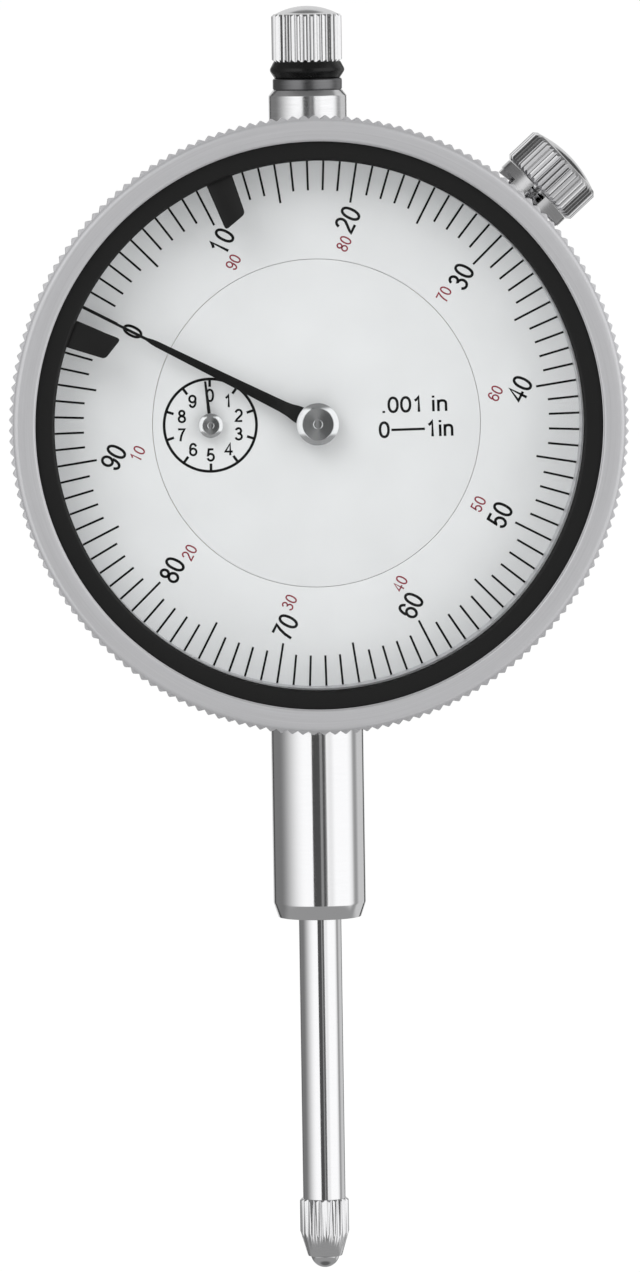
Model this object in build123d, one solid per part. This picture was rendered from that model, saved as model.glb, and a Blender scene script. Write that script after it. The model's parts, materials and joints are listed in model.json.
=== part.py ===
from build123d import *
from math import acos, asin, cos, degrees, hypot, pi, radians, sin, sqrt, tan
import os

# Plunger dial indicator, 0 to 1 in, 0.001 in divisions. Millimetres and degrees.
# The dial faces -Y. The origin is on the stem axis, at the middle of the stem's clamping length, +Z up.
# Places on the movement are x to the viewer's right and z up from the dial centre.
# Places along Y run from the plunger axis, y = 0, towards the viewer, who is at negative y.

# Fits
RUNNING_FIT = 0.04          # radial clearance of a turning or sliding pair
FREE_GAP = 0.3              # clearance between parts that pass each other
THREAD_GAP = 0.04           # radial clearance drawn at a screw thread
GEAR_BACKLASH = 0.05        # along the pitch line

# Stem, plunger and contact
STEM_DIAMETER = 9.525       # 3/8 in
STEM_END_DIAMETER = 8.54
STEM_END_CHAMFER = 1.5
STEM_BORE = 5.6
STEM_BELOW = 10.3           # from the origin down to the stem's end
STEM_SPIGOT_DIAMETER = 8.6  # pressed into the case
DIAL_HEIGHT = 41.0          # from the origin up to the dial centre
PLUNGER_DIAMETER = 4.4
PLUNGER_EXPOSED = 29.2      # between the stem's end and the contact
TRAVEL = 26.0
BUSH_LENGTH = 9.0
CONTACT_DIAMETER = 5.05
CONTACT_KNURL_LENGTH = 3.4
CONTACT_CONE_LENGTH = 2.35
CONTACT_CONE_END = 3.5
CONTACT_FLUTES = 22
CONTACT_FLUTE_DEPTH = 0.22
CONTACT_THREAD = 2.6
CONTACT_THREAD_LENGTH = 4.0
BALL_DIAMETER = 3.0

# Rack and gear train
RACK_PITCH = 0.635          # 0.025 in
RACK_TEETH = 50
RACK_FACE_DEPTH = 0.34      # flat milled on the plunger for the rack
ADDENDUM = 0.8              # in modules
DEDENDUM = 1.2              # in modules
PRESSURE_ANGLE = 20.0
RACK_PINION_TEETH = 16
DRIVE_TEETH = 60
CENTRE_TEETH = 15
TAKEUP_TEETH = 60
COUNTER_PINION_TEETH = 24
COUNTER_TEETH = 60
RACK_ARBOR_RISE = 6.9       # above the dial centre
COUNTER_OFFSET = 10.87      # counter arbor, left of the dial centre
TAKEUP_DIRECTION = -45.0
RACK_PINION_WIDTH = 2.4
PIVOT_DIAMETER = 1.0
ARBOR_DIAMETER = 1.6

# Movement plates
REAR_PLATE_THICKNESS = 0.9
REAR_PLATE_WIDTH = 37.0
REAR_PLATE_HEIGHT = 27.0
FRONT_PLATE_THICKNESS = 0.7
FRONT_PLATE_WIDTH = 30.0
FRONT_PLATE_HEIGHT = 22.0
PLATE_CORNER = 2.2
COUNTER_GEAR_THICKNESS = 0.5
WHEEL_HUB_RADIUS = 2.0
WHEEL_RIM = 1.2
WHEEL_SPOKE = 1.0
WHEEL_SPOKES = 4
DRIVE_GEAR_THICKNESS = 0.6
GEAR_SIDE_GAP = 0.4
PILLAR_DIAMETER = 2.4
PILLAR_X = 13.0
PILLAR_Z = 9.0
MOUNT_SCREW_INSET = 2.5     # from the rear plate's edges
DIAL_FOOT_DIAMETER = 1.6
DIAL_FOOT_X = 8.5
DIAL_FOOT_Z = 8.6
DIAL_STANDOFF = 0.6
BRIDGE_THICKNESS = 0.8
BRIDGE_POST_OFFSET = 4.4    # from the rack arbor, away from the plunger
BRIDGE_POST_SPREAD = 4.0

# Dial and hands
DIAL_THICKNESS = 0.4
INNER_DIAL_DIAMETER = 33.5
DIAL_WALL_STEP = 1.5        # from the bezel's bore in to its wall round the dial
DIAL_LEDGE = 0.3            # dial edge behind that wall
DIAL_WALL_DEPTH = 3.2
POINTER_ANGLE = -63.0       # clockwise from the top
POINTER_TIP_GAP = 0.6       # to the wall round the dial
POINTER_TAIL = 2.1
POINTER_THICKNESS = 0.25
POINTER_BLADE_WIDTH = 1.3
POINTER_BLADE_TIP_WIDTH = 0.55
POINTER_NEEDLE_LENGTH = 8.2
POINTER_NEEDLE_WIDTH = 0.28
POINTER_HEIGHT = 1.5        # above the dial
POINTER_HUB_DIAMETER = 4.4
POINTER_HUB_FACE = 3.25
POINTER_HUB_HEIGHT = 1.3
COUNTER_HAND_ANGLE = -6.3
COUNTER_HAND_LENGTH = 4.6
COUNTER_HAND_WIDTH = 0.36
COUNTER_HAND_TIP_WIDTH = 0.22
COUNTER_HAND_HEIGHT = 0.7
COUNTER_HUB_DIAMETER = 2.56
COUNTER_HUB_FACE = 1.8
COUNTER_HUB_HEIGHT = 0.75

# Bezel, crystal and markers
BEZEL_DIAMETER = 63.0       # over the knurl
BEZEL_TEETH = 180
BEZEL_TOOTH_DEPTH = 0.44
BEZEL_KNURL_LENGTH = 2.6    # from the face back
BEZEL_CHAMFER = 0.52        # from the knurl to the flat face
BEZEL_WALL = 2.6            # knurl to bore
BEZEL_RIM_STEP = 1.0        # plain rim behind the knurl, below its crests
BEZEL_RIM_EDGE = 0.3
BEZEL_BEVEL = 0.5           # inner edge of the face
BEZEL_LENGTH = 6.7
BEZEL_FRONT_STEP = 0.7      # face in front of the black ring
BEZEL_WEB = 0.8
CRYSTAL_THICKNESS = 1.2
CRYSTAL_RING_WIDTH = 1.75
CRYSTAL_RING_LIP = 0.5
CRYSTAL_RING_WALL = 0.4
MARKER_THICKNESS = 0.4
MARKER_SEAT_WIDTH = 1.0     # part of a marker that runs under the ring's lip
MARKER_REACH = 5.15         # from the black ring to its point
MARKER_SHORT_REACH = 4.35
MARKER_SPAN = 5.8
MARKER_CORNER = 0.5
LOW_MARKER_ANGLE = -68.8
HIGH_MARKER_ANGLE = -21.3
DIAL_RETAINER_WIDTH = 0.8
DIAL_RETAINER_THICKNESS = 0.5
SPRING_RING_SECTION = 0.5
SPRING_RING_INSET = 1.4     # from the rim's front end

# Case and back
CASE_WALL = 2.5
CASE_RIM_WALL = 0.7
CASE_REAR = 7.2             # behind the plunger axis
GASKET_THICKNESS = 0.3
GASKET_INSET = 0.2
COVER_THICKNESS = 1.8
COVER_EDGE = 0.6
COVER_SCREW_INSET = 2.16    # from the case's inner wall
LUG_THICKNESS = 6.35        # 1/4 in
LUG_HOLE = 6.35             # 1/4 in
LUG_REACH = 8.2             # from the cover to the hole
LUG_RADIUS = 6.35
LUG_ROOT_FILLET = 1.2
SCREW_BOSS_DIAMETER = 5.2
COVER_BOSS_LENGTH = 5.0
GUIDE_BOSS_DIAMETER = 4.0
STEM_BOSS_WALL = 1.1
STEM_BOSS_HEIGHT = 2.8      # inside the case wall
SLEEVE_BOSS_HEIGHT = 1.5

# Sleeve, cushion and lifting knob above the case
SLEEVE_DIAMETER = 8.0
SLEEVE_BORE = 5.8
SLEEVE_TOP = 5.0            # above the case
SLEEVE_CHAMFER = 0.45
SLEEVE_CHAMFER_HEIGHT = 0.6
COLLAR_DIAMETER = 7.1
COLLAR_HEIGHT = 1.2
O_RING_SECTION = 1.7
O_RING_DIAMETER = 7.7
KNOB_DIAMETER = 7.2
KNOB_KNURL_HEIGHT = 4.8
KNOB_DOME_HEIGHT = 1.0
KNOB_FLUTES = 30
KNOB_FLUTE_DEPTH = 0.3
HEAD_EDGE = 0.35            # bevel of both knurled heads
KNOB_THREAD = 3.0
KNOB_THREAD_LENGTH = 3.6

# Guide, return spring and hairspring
GUIDE_ARM_DROP = 4.0        # below the dial centre
GUIDE_ARM_HEIGHT = 3.2
SPRING_TAB = 0.5            # thickness of the tab that pulls the spring
GUIDE_ARM_START = 1.5       # where its saddle begins, behind the plunger axis
GUIDE_ARM_DEPTH = 1.85
GUIDE_ARM_LEFT = 1.7
GUIDE_PIN_X = 5.5
GUIDE_PIN_DIAMETER = 1.9
GUIDE_PLATE_WIDTH = 4.6
GUIDE_PLATE_THICKNESS = 1.0
GUIDE_PLATE_TOP_GAP = 1.96  # to the case's inner wall
GUIDE_PLATE_BOTTOM_GAP = 4.06
GUIDE_EAR_OFFSET = 3.9      # from the guide pin
GUIDE_EAR_GAP = 5.36
GUIDE_FOOT_GAP = 6.36
SPRING_Y = 4.5
SPRING_DIAMETER = 2.8
SPRING_WIRE = 0.35
SPRING_TURNS = 8
SPRING_POST_DIAMETER = 1.5
SPRING_POST_LENGTH = 2.6
HAIRSPRING_TURNS = 3
HAIRSPRING_PITCH = 1.0
HAIRSPRING_STRIP = 0.15
HAIRSPRING_WIDTH = 0.4
COLLET_DIAMETER = 2.2
COLLET_GAP = 0.1            # to the innermost turn
STUD_DIAMETER = 1.0

# Bezel clamp
CLAMP_ANGLE = 47.6          # clockwise from the top
CLAMP_SIDE_OFFSET = 1.6     # screw axis passes the dial centre on its upper side
CLAMP_BOSS_DIAMETER = 5.2
CLAMP_BOSS_DROP = 0.1       # below the bezel's knurl
CLAMP_REAR_OFFSET = 3.5     # screw axis in front of the plunger axis
CLAMP_THREAD = 3.0
CLAMP_SHOE_DIAMETER = 8.3
CLAMP_SHOE_THICKNESS = 1.05
CLAMP_SHOE_LIFT = 0.3       # washer above the knurl
CLAMP_TOE_GAP = 0.06        # to the bezel's rim at rest
CLAMP_SHOE_NOTCH = 1.7
CLAMP_HEAD_DIAMETER = 9.1
CLAMP_HEAD_HEIGHT = 3.6
CLAMP_DOME_HEIGHT = 1.1
CLAMP_HEAD_GAP = 0.1        # to the washer
CLAMP_FLUTES = 50
CLAMP_FLUTE_DEPTH = 0.28

# Screws
SCREW_SHANK = 1.6
SCREW_HEAD = 3.2
SCREW_HEAD_HEIGHT = 0.9
SCREW_SLOT = 0.5
SCREW_LENGTH = 3.0
SMALL_SHANK = 1.0
SMALL_HEAD = 2.0
SMALL_HEAD_HEIGHT = 0.35
SMALL_LENGTH = 1.6

KNURL_BLANK = 0.1           # radius left outside the knurl before it is cut

# Places worked out from the sizes above
BEZEL_R = BEZEL_DIAMETER / 2
BORE_R = BEZEL_R - BEZEL_WALL
BEZEL_RIM_R = BEZEL_R - BEZEL_RIM_STEP
DIAL_WALL_R = BORE_R - DIAL_WALL_STEP
DIAL_R = DIAL_WALL_R + DIAL_LEDGE
RING_INNER_R = BORE_R - CRYSTAL_RING_WIDTH
POINTER_LENGTH = DIAL_WALL_R - POINTER_TIP_GAP
POINTER_BLADE_LENGTH = POINTER_LENGTH - POINTER_NEEDLE_LENGTH
CLAMP_SHOE_RADIUS = BEZEL_R + CLAMP_SHOE_LIFT
PLUNGER_R = PLUNGER_DIAMETER / 2
RUN_R = PLUNGER_R + RUNNING_FIT
CASE_R = BORE_R - RUNNING_FIT
CASE_INNER_R = CASE_R - CASE_WALL
STEM_END_Z = -STEM_BELOW
STEM_SHOULDER_Z = DIAL_HEIGHT - CASE_R - RUNNING_FIT
STEM_TOP_Z = DIAL_HEIGHT - CASE_INNER_R + STEM_BOSS_HEIGHT / 2
CONTACT_TOP_Z = STEM_END_Z - PLUNGER_EXPOSED
CASE_TOP_Z = DIAL_HEIGHT + CASE_R
SLEEVE_TOP_Z = CASE_TOP_Z + SLEEVE_TOP
SLEEVE_FOOT_Z = DIAL_HEIGHT + CASE_INNER_R - SLEEVE_BOSS_HEIGHT / 2
COLLAR_TOP_Z = SLEEVE_TOP_Z + COLLAR_HEIGHT
KNOB_FOOT_Z = COLLAR_TOP_Z + O_RING_SECTION

REAR_PLATE_BACK = -(PLUNGER_R + FREE_GAP)
REAR_PLATE_FRONT = REAR_PLATE_BACK - REAR_PLATE_THICKNESS
COUNTER_GEAR_BACK = REAR_PLATE_FRONT - GEAR_SIDE_GAP
COUNTER_GEAR_FRONT = COUNTER_GEAR_BACK - COUNTER_GEAR_THICKNESS
DRIVE_GEAR_BACK = COUNTER_GEAR_FRONT - FREE_GAP
DRIVE_GEAR_FRONT = DRIVE_GEAR_BACK - DRIVE_GEAR_THICKNESS
FRONT_PLATE_BACK = DRIVE_GEAR_FRONT - 0.5
FRONT_PLATE_FRONT = FRONT_PLATE_BACK - FRONT_PLATE_THICKNESS
DIAL_BACK = FRONT_PLATE_FRONT - DIAL_STANDOFF
DIAL_FRONT = DIAL_BACK - DIAL_THICKNESS
COUNTER_HAND_BACK = DIAL_FRONT - COUNTER_HAND_HEIGHT
POINTER_BACK = DIAL_FRONT - POINTER_HEIGHT
CRYSTAL_BACK = DIAL_FRONT - DIAL_WALL_DEPTH
CRYSTAL_FRONT = CRYSTAL_BACK - CRYSTAL_THICKNESS
MARKER_BACK = CRYSTAL_FRONT - RUNNING_FIT
MARKER_FRONT = MARKER_BACK - MARKER_THICKNESS
LIP_BACK = MARKER_FRONT - RUNNING_FIT
LIP_FRONT = LIP_BACK - CRYSTAL_RING_LIP
BEZEL_FRONT = LIP_FRONT - BEZEL_FRONT_STEP
BEZEL_REAR = BEZEL_FRONT + BEZEL_LENGTH
WEB_REAR = CRYSTAL_BACK + BEZEL_WEB
RIM_FRONT = WEB_REAR + 0.1
CASE_STEP = DIAL_BACK + DIAL_RETAINER_THICKNESS + 0.3
SLEEVE_REAR = DIAL_BACK + DIAL_RETAINER_THICKNESS + 0.1
RIM_INNER_R = CASE_R - CASE_RIM_WALL
SLEEVE_R = RIM_INNER_R - RUNNING_FIT
SPRING_RING_Y = RIM_FRONT + SPRING_RING_INSET
COVER_FRONT = CASE_REAR + GASKET_THICKNESS
COVER_REAR = COVER_FRONT + COVER_THICKNESS
LUG_HOLE_Y = COVER_REAR + LUG_REACH

RACK_MODULE = RACK_PITCH / pi
RACK_TIP = PLUNGER_R - RACK_FACE_DEPTH
RACK_LINE = RACK_TIP - ADDENDUM * RACK_MODULE
RACK_ROOT = RACK_LINE - DEDENDUM * RACK_MODULE
RACK_ARBOR = (-(RACK_LINE + RACK_MODULE * RACK_PINION_TEETH / 2), RACK_ARBOR_RISE)
CENTRE_ARBOR = (0.0, 0.0)
COUNTER_ARBOR = (-COUNTER_OFFSET, 0.0)
DRIVE_DISTANCE = hypot(*RACK_ARBOR)
DRIVE_MODULE = 2 * DRIVE_DISTANCE / (DRIVE_TEETH + CENTRE_TEETH)
TAKEUP_DISTANCE = DRIVE_MODULE * (TAKEUP_TEETH + CENTRE_TEETH) / 2
TAKEUP_ARBOR = (
    TAKEUP_DISTANCE * cos(radians(TAKEUP_DIRECTION)),
    TAKEUP_DISTANCE * sin(radians(TAKEUP_DIRECTION)),
)
COUNTER_DISTANCE = hypot(COUNTER_ARBOR[0] - RACK_ARBOR[0], COUNTER_ARBOR[1] - RACK_ARBOR[1])
COUNTER_MODULE = 2 * COUNTER_DISTANCE / (COUNTER_PINION_TEETH + COUNTER_TEETH)
HAIRSPRING_START = COLLET_DIAMETER / 2 + COLLET_GAP + HAIRSPRING_STRIP
HAIRSPRING_END = HAIRSPRING_START + HAIRSPRING_TURNS * HAIRSPRING_PITCH
STUD_PLACE = (TAKEUP_ARBOR[0] + HAIRSPRING_END + STUD_DIAMETER / 2, TAKEUP_ARBOR[1])
BRIDGE_X = RACK_ARBOR[0] - BRIDGE_POST_OFFSET
BRIDGE_FRONT = RACK_PINION_WIDTH / 2 + 0.4
BRIDGE_REAR = BRIDGE_FRONT + BRIDGE_THICKNESS
BRIDGE_POSTS = [
    (BRIDGE_X, RACK_ARBOR[1] - BRIDGE_POST_SPREAD / 2),
    (BRIDGE_X, RACK_ARBOR[1] + BRIDGE_POST_SPREAD / 2),
]
PILLARS = [(sx * PILLAR_X, sz * PILLAR_Z) for sx in (-1, 1) for sz in (-1, 1)]
MOUNT_SCREW_X = REAR_PLATE_WIDTH / 2 - MOUNT_SCREW_INSET
MOUNT_SCREW_Z = REAR_PLATE_HEIGHT / 2 - MOUNT_SCREW_INSET
MOUNT_SCREWS = [(sx * MOUNT_SCREW_X, sz * MOUNT_SCREW_Z) for sx in (-1, 1) for sz in (-1, 1)]
DIAL_FEET = [(sx * DIAL_FOOT_X, sz * DIAL_FOOT_Z) for sx, sz in ((-1, -1), (1, -1), (1, 1))]
GUIDE_ARM_REAR = GUIDE_ARM_START + GUIDE_ARM_DEPTH
GUIDE_PIN_PLACE = (GUIDE_PIN_X, -GUIDE_ARM_DROP)
GUIDE_PIN_FRONT = GUIDE_ARM_START + 0.6
GUIDE_PLATE_FRONT = GUIDE_ARM_REAR + FREE_GAP + 0.2
GUIDE_PLATE_REAR = GUIDE_PLATE_FRONT + GUIDE_PLATE_THICKNESS
GUIDE_PLATE_TOP = CASE_INNER_R - GUIDE_PLATE_TOP_GAP
GUIDE_PLATE_BOTTOM = CASE_INNER_R - GUIDE_PLATE_BOTTOM_GAP
GUIDE_EAR_X = GUIDE_PIN_X + GUIDE_EAR_OFFSET
GUIDE_EAR_Z = CASE_INNER_R - GUIDE_EAR_GAP
GUIDE_SCREWS = [(GUIDE_PIN_X, GUIDE_FOOT_GAP - CASE_INNER_R), (GUIDE_EAR_X, GUIDE_EAR_Z)]
SPRING_FOOT = -(CASE_INNER_R - STEM_BOSS_HEIGHT) + 0.3
SPRING_HEAD = -GUIDE_ARM_DROP - GUIDE_ARM_HEIGHT / 2
COVER_SCREW_RADIUS = CASE_INNER_R - COVER_SCREW_INSET
COVER_SCREW_OFFSET = COVER_SCREW_RADIUS * cos(radians(45))
COVER_SCREW_PLACES = [(sx * COVER_SCREW_OFFSET, sz * COVER_SCREW_OFFSET) for sx in (-1, 1) for sz in (-1, 1)]


def slab(outline, back, front):
    """A flat piece from its outline seen from the front, centred on the dial."""
    return Pos(0, 0, DIAL_HEIGHT) * extrude(Plane.XZ.offset(-back) * outline, amount=back - front)


def rod(place, radius, back, front):
    """A round bar along Y at a place on the movement."""
    return slab(Pos(*place) * Circle(radius), back, front)


def dial_turned(points):
    """A piece turned about the dial axis from (radius, y) points."""
    return Pos(0, 0, DIAL_HEIGHT) * revolve(make_face(Polyline(*points, close=True)), Axis.Y)


def stem_turned(points):
    """A piece turned about the stem axis from (radius, z) points."""
    return revolve(Plane.XZ * make_face(Polyline(*points, close=True)), Axis.Z)


def clamp_placed(piece):
    """Turn a piece made along +Z from the dial centre to the clamp's direction."""
    place = Pos(0, -CLAMP_REAR_OFFSET, DIAL_HEIGHT) * Rot(0, CLAMP_ANGLE, 0) * Pos(-CLAMP_SIDE_OFFSET, 0, 0)
    return place * piece


def serrated(radius, depth, count):
    """Outline with V grooves all round."""
    step = 2 * pi / count
    points = []
    for i in range(count):
        points.append((radius * cos(i * step), radius * sin(i * step)))
        groove = (i + 0.5) * step
        points.append(((radius - depth) * cos(groove), (radius - depth) * sin(groove)))
    return make_face(Polyline(*points, close=True))


def screw(head, head_height, shank, length, slot):
    """Slotted screw along -Y to +Y: the head is on the -Y side of y = 0 and the shank on the +Y side."""
    body = Rot(90, 0, 0) * extrude(Circle(head / 2), amount=head_height)
    body += Rot(-90, 0, 0) * extrude(Circle(shank / 2), amount=length)
    return body - Pos(0, -head_height, 0) * Box(head * 1.1, head_height, slot)


def placed_screws(places, seat, length, small=False, from_rear=False):
    """Screws whose heads seat at y = seat, as one group of separate solids."""
    if small:
        one = screw(SMALL_HEAD, SMALL_HEAD_HEIGHT, SMALL_SHANK, length, SCREW_SLOT * 0.6)
    else:
        one = screw(SCREW_HEAD, SCREW_HEAD_HEIGHT, SCREW_SHANK, length, SCREW_SLOT)
    if from_rear:
        one = Rot(0, 0, 180) * one
    return Compound(children=[Pos(x, seat, DIAL_HEIGHT + z) * one for x, z in places])


def involute(angle):
    return tan(angle) - angle


def gear_outline(teeth, module, tooth_angle, flank_points):
    """Spur gear outline with one tooth centred at tooth_angle, in degrees anticlockwise from +x."""
    pitch_r = module * teeth / 2
    base_r = pitch_r * cos(radians(PRESSURE_ANGLE))
    root_r = pitch_r - DEDENDUM * module
    tip_r = pitch_r + ADDENDUM * module
    start_r = max(base_r, root_r)
    half_pitch_angle = (pi * module / 2 - GEAR_BACKLASH) / (2 * pitch_r)
    radii = [start_r + (tip_r - start_r) * i / flank_points for i in range(flank_points + 1)]
    halves = []
    for r in radii:
        turn = involute(radians(PRESSURE_ANGLE)) - involute(acos(min(1.0, base_r / r)))
        halves.append((r, half_pitch_angle + turn))
    if root_r < base_r:
        halves.insert(0, (root_r, halves[0][1]))
    points = []
    for i in range(teeth):
        centre = radians(tooth_angle) + 2 * pi * i / teeth
        for r, half in halves:
            points.append((r * cos(centre - half), r * sin(centre - half)))
        for r, half in reversed(halves):
            points.append((r * cos(centre + half), r * sin(centre + half)))
    return make_face(Polyline(*points, close=True))


def mesh_angle(driver_angle, driver_teeth, direction, teeth):
    """Tooth angle of a gear that meshes with a driver, which lies opposite to direction."""
    offset = (driver_angle - direction) * driver_teeth / teeth
    return direction + 180 - offset + 180 / teeth


def direction_to(start, end):
    """Direction in degrees anticlockwise from +x, seen from the front."""
    dx = end[0] - start[0]
    dz = end[1] - start[1]
    turn = degrees(acos(dx / hypot(dx, dz)))
    return turn if dz >= 0 else -turn


def wheel_windows(radius):
    """Openings between the spokes of a wheel."""
    ring = Circle(radius - WHEEL_RIM) - Circle(WHEEL_HUB_RADIUS)
    for i in range(WHEEL_SPOKES):
        ring -= Rot(0, 0, 360 / WHEEL_SPOKES * i) * Pos(radius / 2, 0) * Rectangle(radius, WHEEL_SPOKE)
    return ring


def stem():
    r = STEM_DIAMETER / 2
    bore = STEM_BORE / 2
    spigot = STEM_SPIGOT_DIAMETER / 2
    end = STEM_END_Z
    return stem_turned([
        (bore, end), (STEM_END_DIAMETER / 2, end), (r, end + STEM_END_CHAMFER), (r, STEM_SHOULDER_Z),
        (spigot, STEM_SHOULDER_Z), (spigot, STEM_TOP_Z), (bore, STEM_TOP_Z),
    ])


def stem_bushes():
    feet = (STEM_END_Z + 0.4, STEM_TOP_Z - BUSH_LENGTH - 0.4)
    outer = STEM_BORE / 2
    return Compound(children=[
        stem_turned([(RUN_R, z), (outer, z), (outer, z + BUSH_LENGTH), (RUN_R, z + BUSH_LENGTH)])
        for z in feet
    ])


def upper_sleeve():
    r = SLEEVE_DIAMETER / 2
    bore = SLEEVE_BORE / 2
    shoulder = SLEEVE_TOP_Z - SLEEVE_CHAMFER_HEIGHT
    return stem_turned([
        (bore, SLEEVE_FOOT_Z), (r, SLEEVE_FOOT_Z), (r, shoulder), (r - SLEEVE_CHAMFER, SLEEVE_TOP_Z),
        (bore, SLEEVE_TOP_Z),
    ])


def upper_bush():
    bore = SLEEVE_BORE / 2
    flange = COLLAR_DIAMETER / 2
    foot = SLEEVE_FOOT_Z + 0.6
    edge = 0.15
    return stem_turned([
        (RUN_R, foot), (bore, foot), (bore, SLEEVE_TOP_Z), (flange, SLEEVE_TOP_Z),
        (flange, COLLAR_TOP_Z - edge), (flange - edge, COLLAR_TOP_Z), (RUN_R, COLLAR_TOP_Z),
    ])


def wall_boss(place, diameter, back, front):
    """A round boss with a rib out to the case wall."""
    reach = CASE_INNER_R + CASE_WALL / 2 - hypot(*place)
    turn = direction_to((0, 0), place)
    rib = Pos(*place) * Rot(0, 0, turn) * Pos(reach / 2, 0) * Rectangle(reach, diameter * 0.8)
    return slab(Pos(*place) * Circle(diameter / 2) + rib, back, front)


def case_body():
    ring = dial_turned([
        (CASE_INNER_R, CASE_REAR), (CASE_R, CASE_REAR), (CASE_R, RIM_FRONT), (RIM_INNER_R, RIM_FRONT),
        (RIM_INNER_R, CASE_STEP), (CASE_INNER_R, CASE_STEP),
    ])
    body = ring
    for place in MOUNT_SCREWS:
        body += wall_boss(place, SCREW_BOSS_DIAMETER, 1.0, REAR_PLATE_BACK)
    for place in COVER_SCREW_PLACES:
        body += wall_boss(place, SCREW_BOSS_DIAMETER, CASE_REAR, CASE_REAR - COVER_BOSS_LENGTH)
    for place in GUIDE_SCREWS:
        body += wall_boss(place, GUIDE_BOSS_DIAMETER, GUIDE_PLATE_FRONT, 0.0)
    stem_boss_r = STEM_DIAMETER / 2 + STEM_BOSS_WALL
    boss_foot = DIAL_HEIGHT - CASE_INNER_R - CASE_WALL / 2
    body += Pos(0, 0, boss_foot) * extrude(Circle(stem_boss_r), amount=STEM_BOSS_HEIGHT + CASE_WALL / 2)
    sleeve_boss_r = SLEEVE_DIAMETER / 2 + STEM_BOSS_WALL
    boss_top = DIAL_HEIGHT + CASE_INNER_R - SLEEVE_BOSS_HEIGHT
    body += Pos(0, 0, boss_top) * extrude(Circle(sleeve_boss_r), amount=SLEEVE_BOSS_HEIGHT + CASE_WALL / 2)
    clamp_foot = CASE_R - CASE_WALL / 2
    clamp_boss = extrude(Circle(CLAMP_BOSS_DIAMETER / 2), amount=BEZEL_R - CLAMP_BOSS_DROP - clamp_foot)
    body += clamp_placed(Pos(0, 0, clamp_foot) * clamp_boss)

    groove_r = CASE_R - SPRING_RING_SECTION / 2 - 0.03
    groove = SPRING_RING_SECTION / 2 + 0.03
    body -= dial_turned([
        (groove_r, SPRING_RING_Y + groove), (CASE_R + 1, SPRING_RING_Y + groove),
        (CASE_R + 1, SPRING_RING_Y - groove), (groove_r, SPRING_RING_Y - groove),
    ])
    body -= Pos(0, 0, DIAL_HEIGHT - CASE_R - 1) * extrude(
        Circle(STEM_SPIGOT_DIAMETER / 2), amount=STEM_TOP_Z - DIAL_HEIGHT + CASE_R + 1
    )
    body -= Pos(0, 0, SLEEVE_FOOT_Z) * extrude(
        Circle(SLEEVE_DIAMETER / 2), amount=CASE_TOP_Z - SLEEVE_FOOT_Z + 1
    )
    plunger_hole = PLUNGER_R + FREE_GAP
    body -= Pos(0, 0, DIAL_HEIGHT - CASE_R) * extrude(Circle(plunger_hole), amount=2 * CASE_R)
    thread_r = SCREW_SHANK / 2 + THREAD_GAP
    for place in MOUNT_SCREWS:
        body -= rod(place, thread_r, REAR_PLATE_BACK + SCREW_LENGTH, REAR_PLATE_BACK - 0.1)
    for place in COVER_SCREW_PLACES:
        body -= rod(place, thread_r, COVER_FRONT + 0.1, COVER_FRONT - SCREW_LENGTH - 0.2)
    for place in GUIDE_SCREWS:
        body -= rod(place, thread_r, GUIDE_PLATE_FRONT + 0.1, GUIDE_PLATE_FRONT - SCREW_LENGTH - 0.2)
    clamp_hole = extrude(Circle(CLAMP_THREAD / 2 + THREAD_GAP), amount=BEZEL_R - CASE_INNER_R + 3)
    body -= clamp_placed(Pos(0, 0, CASE_INNER_R - 2) * clamp_hole)
    post_z = DIAL_HEIGHT + SPRING_FOOT - 0.3 - SPRING_POST_LENGTH / 2
    body -= Pos(0, SPRING_Y, post_z) * extrude(Circle(SPRING_POST_DIAMETER / 2), amount=SPRING_POST_LENGTH)
    return body


def back_cover():
    cover = dial_turned([
        (0, COVER_FRONT), (CASE_R, COVER_FRONT), (CASE_R, COVER_REAR - COVER_EDGE),
        (CASE_R - COVER_EDGE, COVER_REAR), (0, COVER_REAR),
    ])
    side = Pos((COVER_REAR + LUG_HOLE_Y) / 2, 0) * Rectangle(LUG_HOLE_Y - COVER_REAR, 2 * LUG_RADIUS)
    side += Pos(LUG_HOLE_Y, 0) * Circle(LUG_RADIUS)
    lug = Pos(-LUG_THICKNESS / 2, 0, DIAL_HEIGHT) * extrude(Plane.YZ * side, amount=LUG_THICKNESS)
    cover += lug
    root = cover.edges().filter_by(
        lambda e: abs(e.center().Y - COVER_REAR) < 1e-4 and abs(e.center().X) < LUG_THICKNESS
    )
    cover = fillet(root, min(LUG_ROOT_FILLET, LUG_REACH / 3))
    hole = Pos(-LUG_THICKNESS, LUG_HOLE_Y, DIAL_HEIGHT) * Rot(0, 90, 0) * extrude(
        Circle(LUG_HOLE / 2), amount=2 * LUG_THICKNESS
    )
    cover -= hole
    for place in COVER_SCREW_PLACES:
        cover -= rod(place, SCREW_SHANK / 2 + 0.1, COVER_REAR + 1, COVER_FRONT - 1)
        cover -= rod(place, SCREW_HEAD / 2 + 0.1, COVER_REAR + 1, COVER_REAR - SCREW_HEAD_HEIGHT)
    return cover


def back_gasket():
    ring = Circle(CASE_R - GASKET_INSET) - Circle(CASE_INNER_R + GASKET_INSET)
    for place in COVER_SCREW_PLACES:
        ring += Pos(*place) * Circle(SCREW_BOSS_DIAMETER / 2 - GASKET_INSET)
        ring -= Pos(*place) * Circle(SCREW_SHANK / 2 + THREAD_GAP)
    return slab(ring, COVER_FRONT, CASE_REAR)


def cover_screws():
    seat = COVER_REAR - SCREW_HEAD_HEIGHT
    return placed_screws(COVER_SCREW_PLACES, seat, SCREW_LENGTH, from_rear=True)


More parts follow.
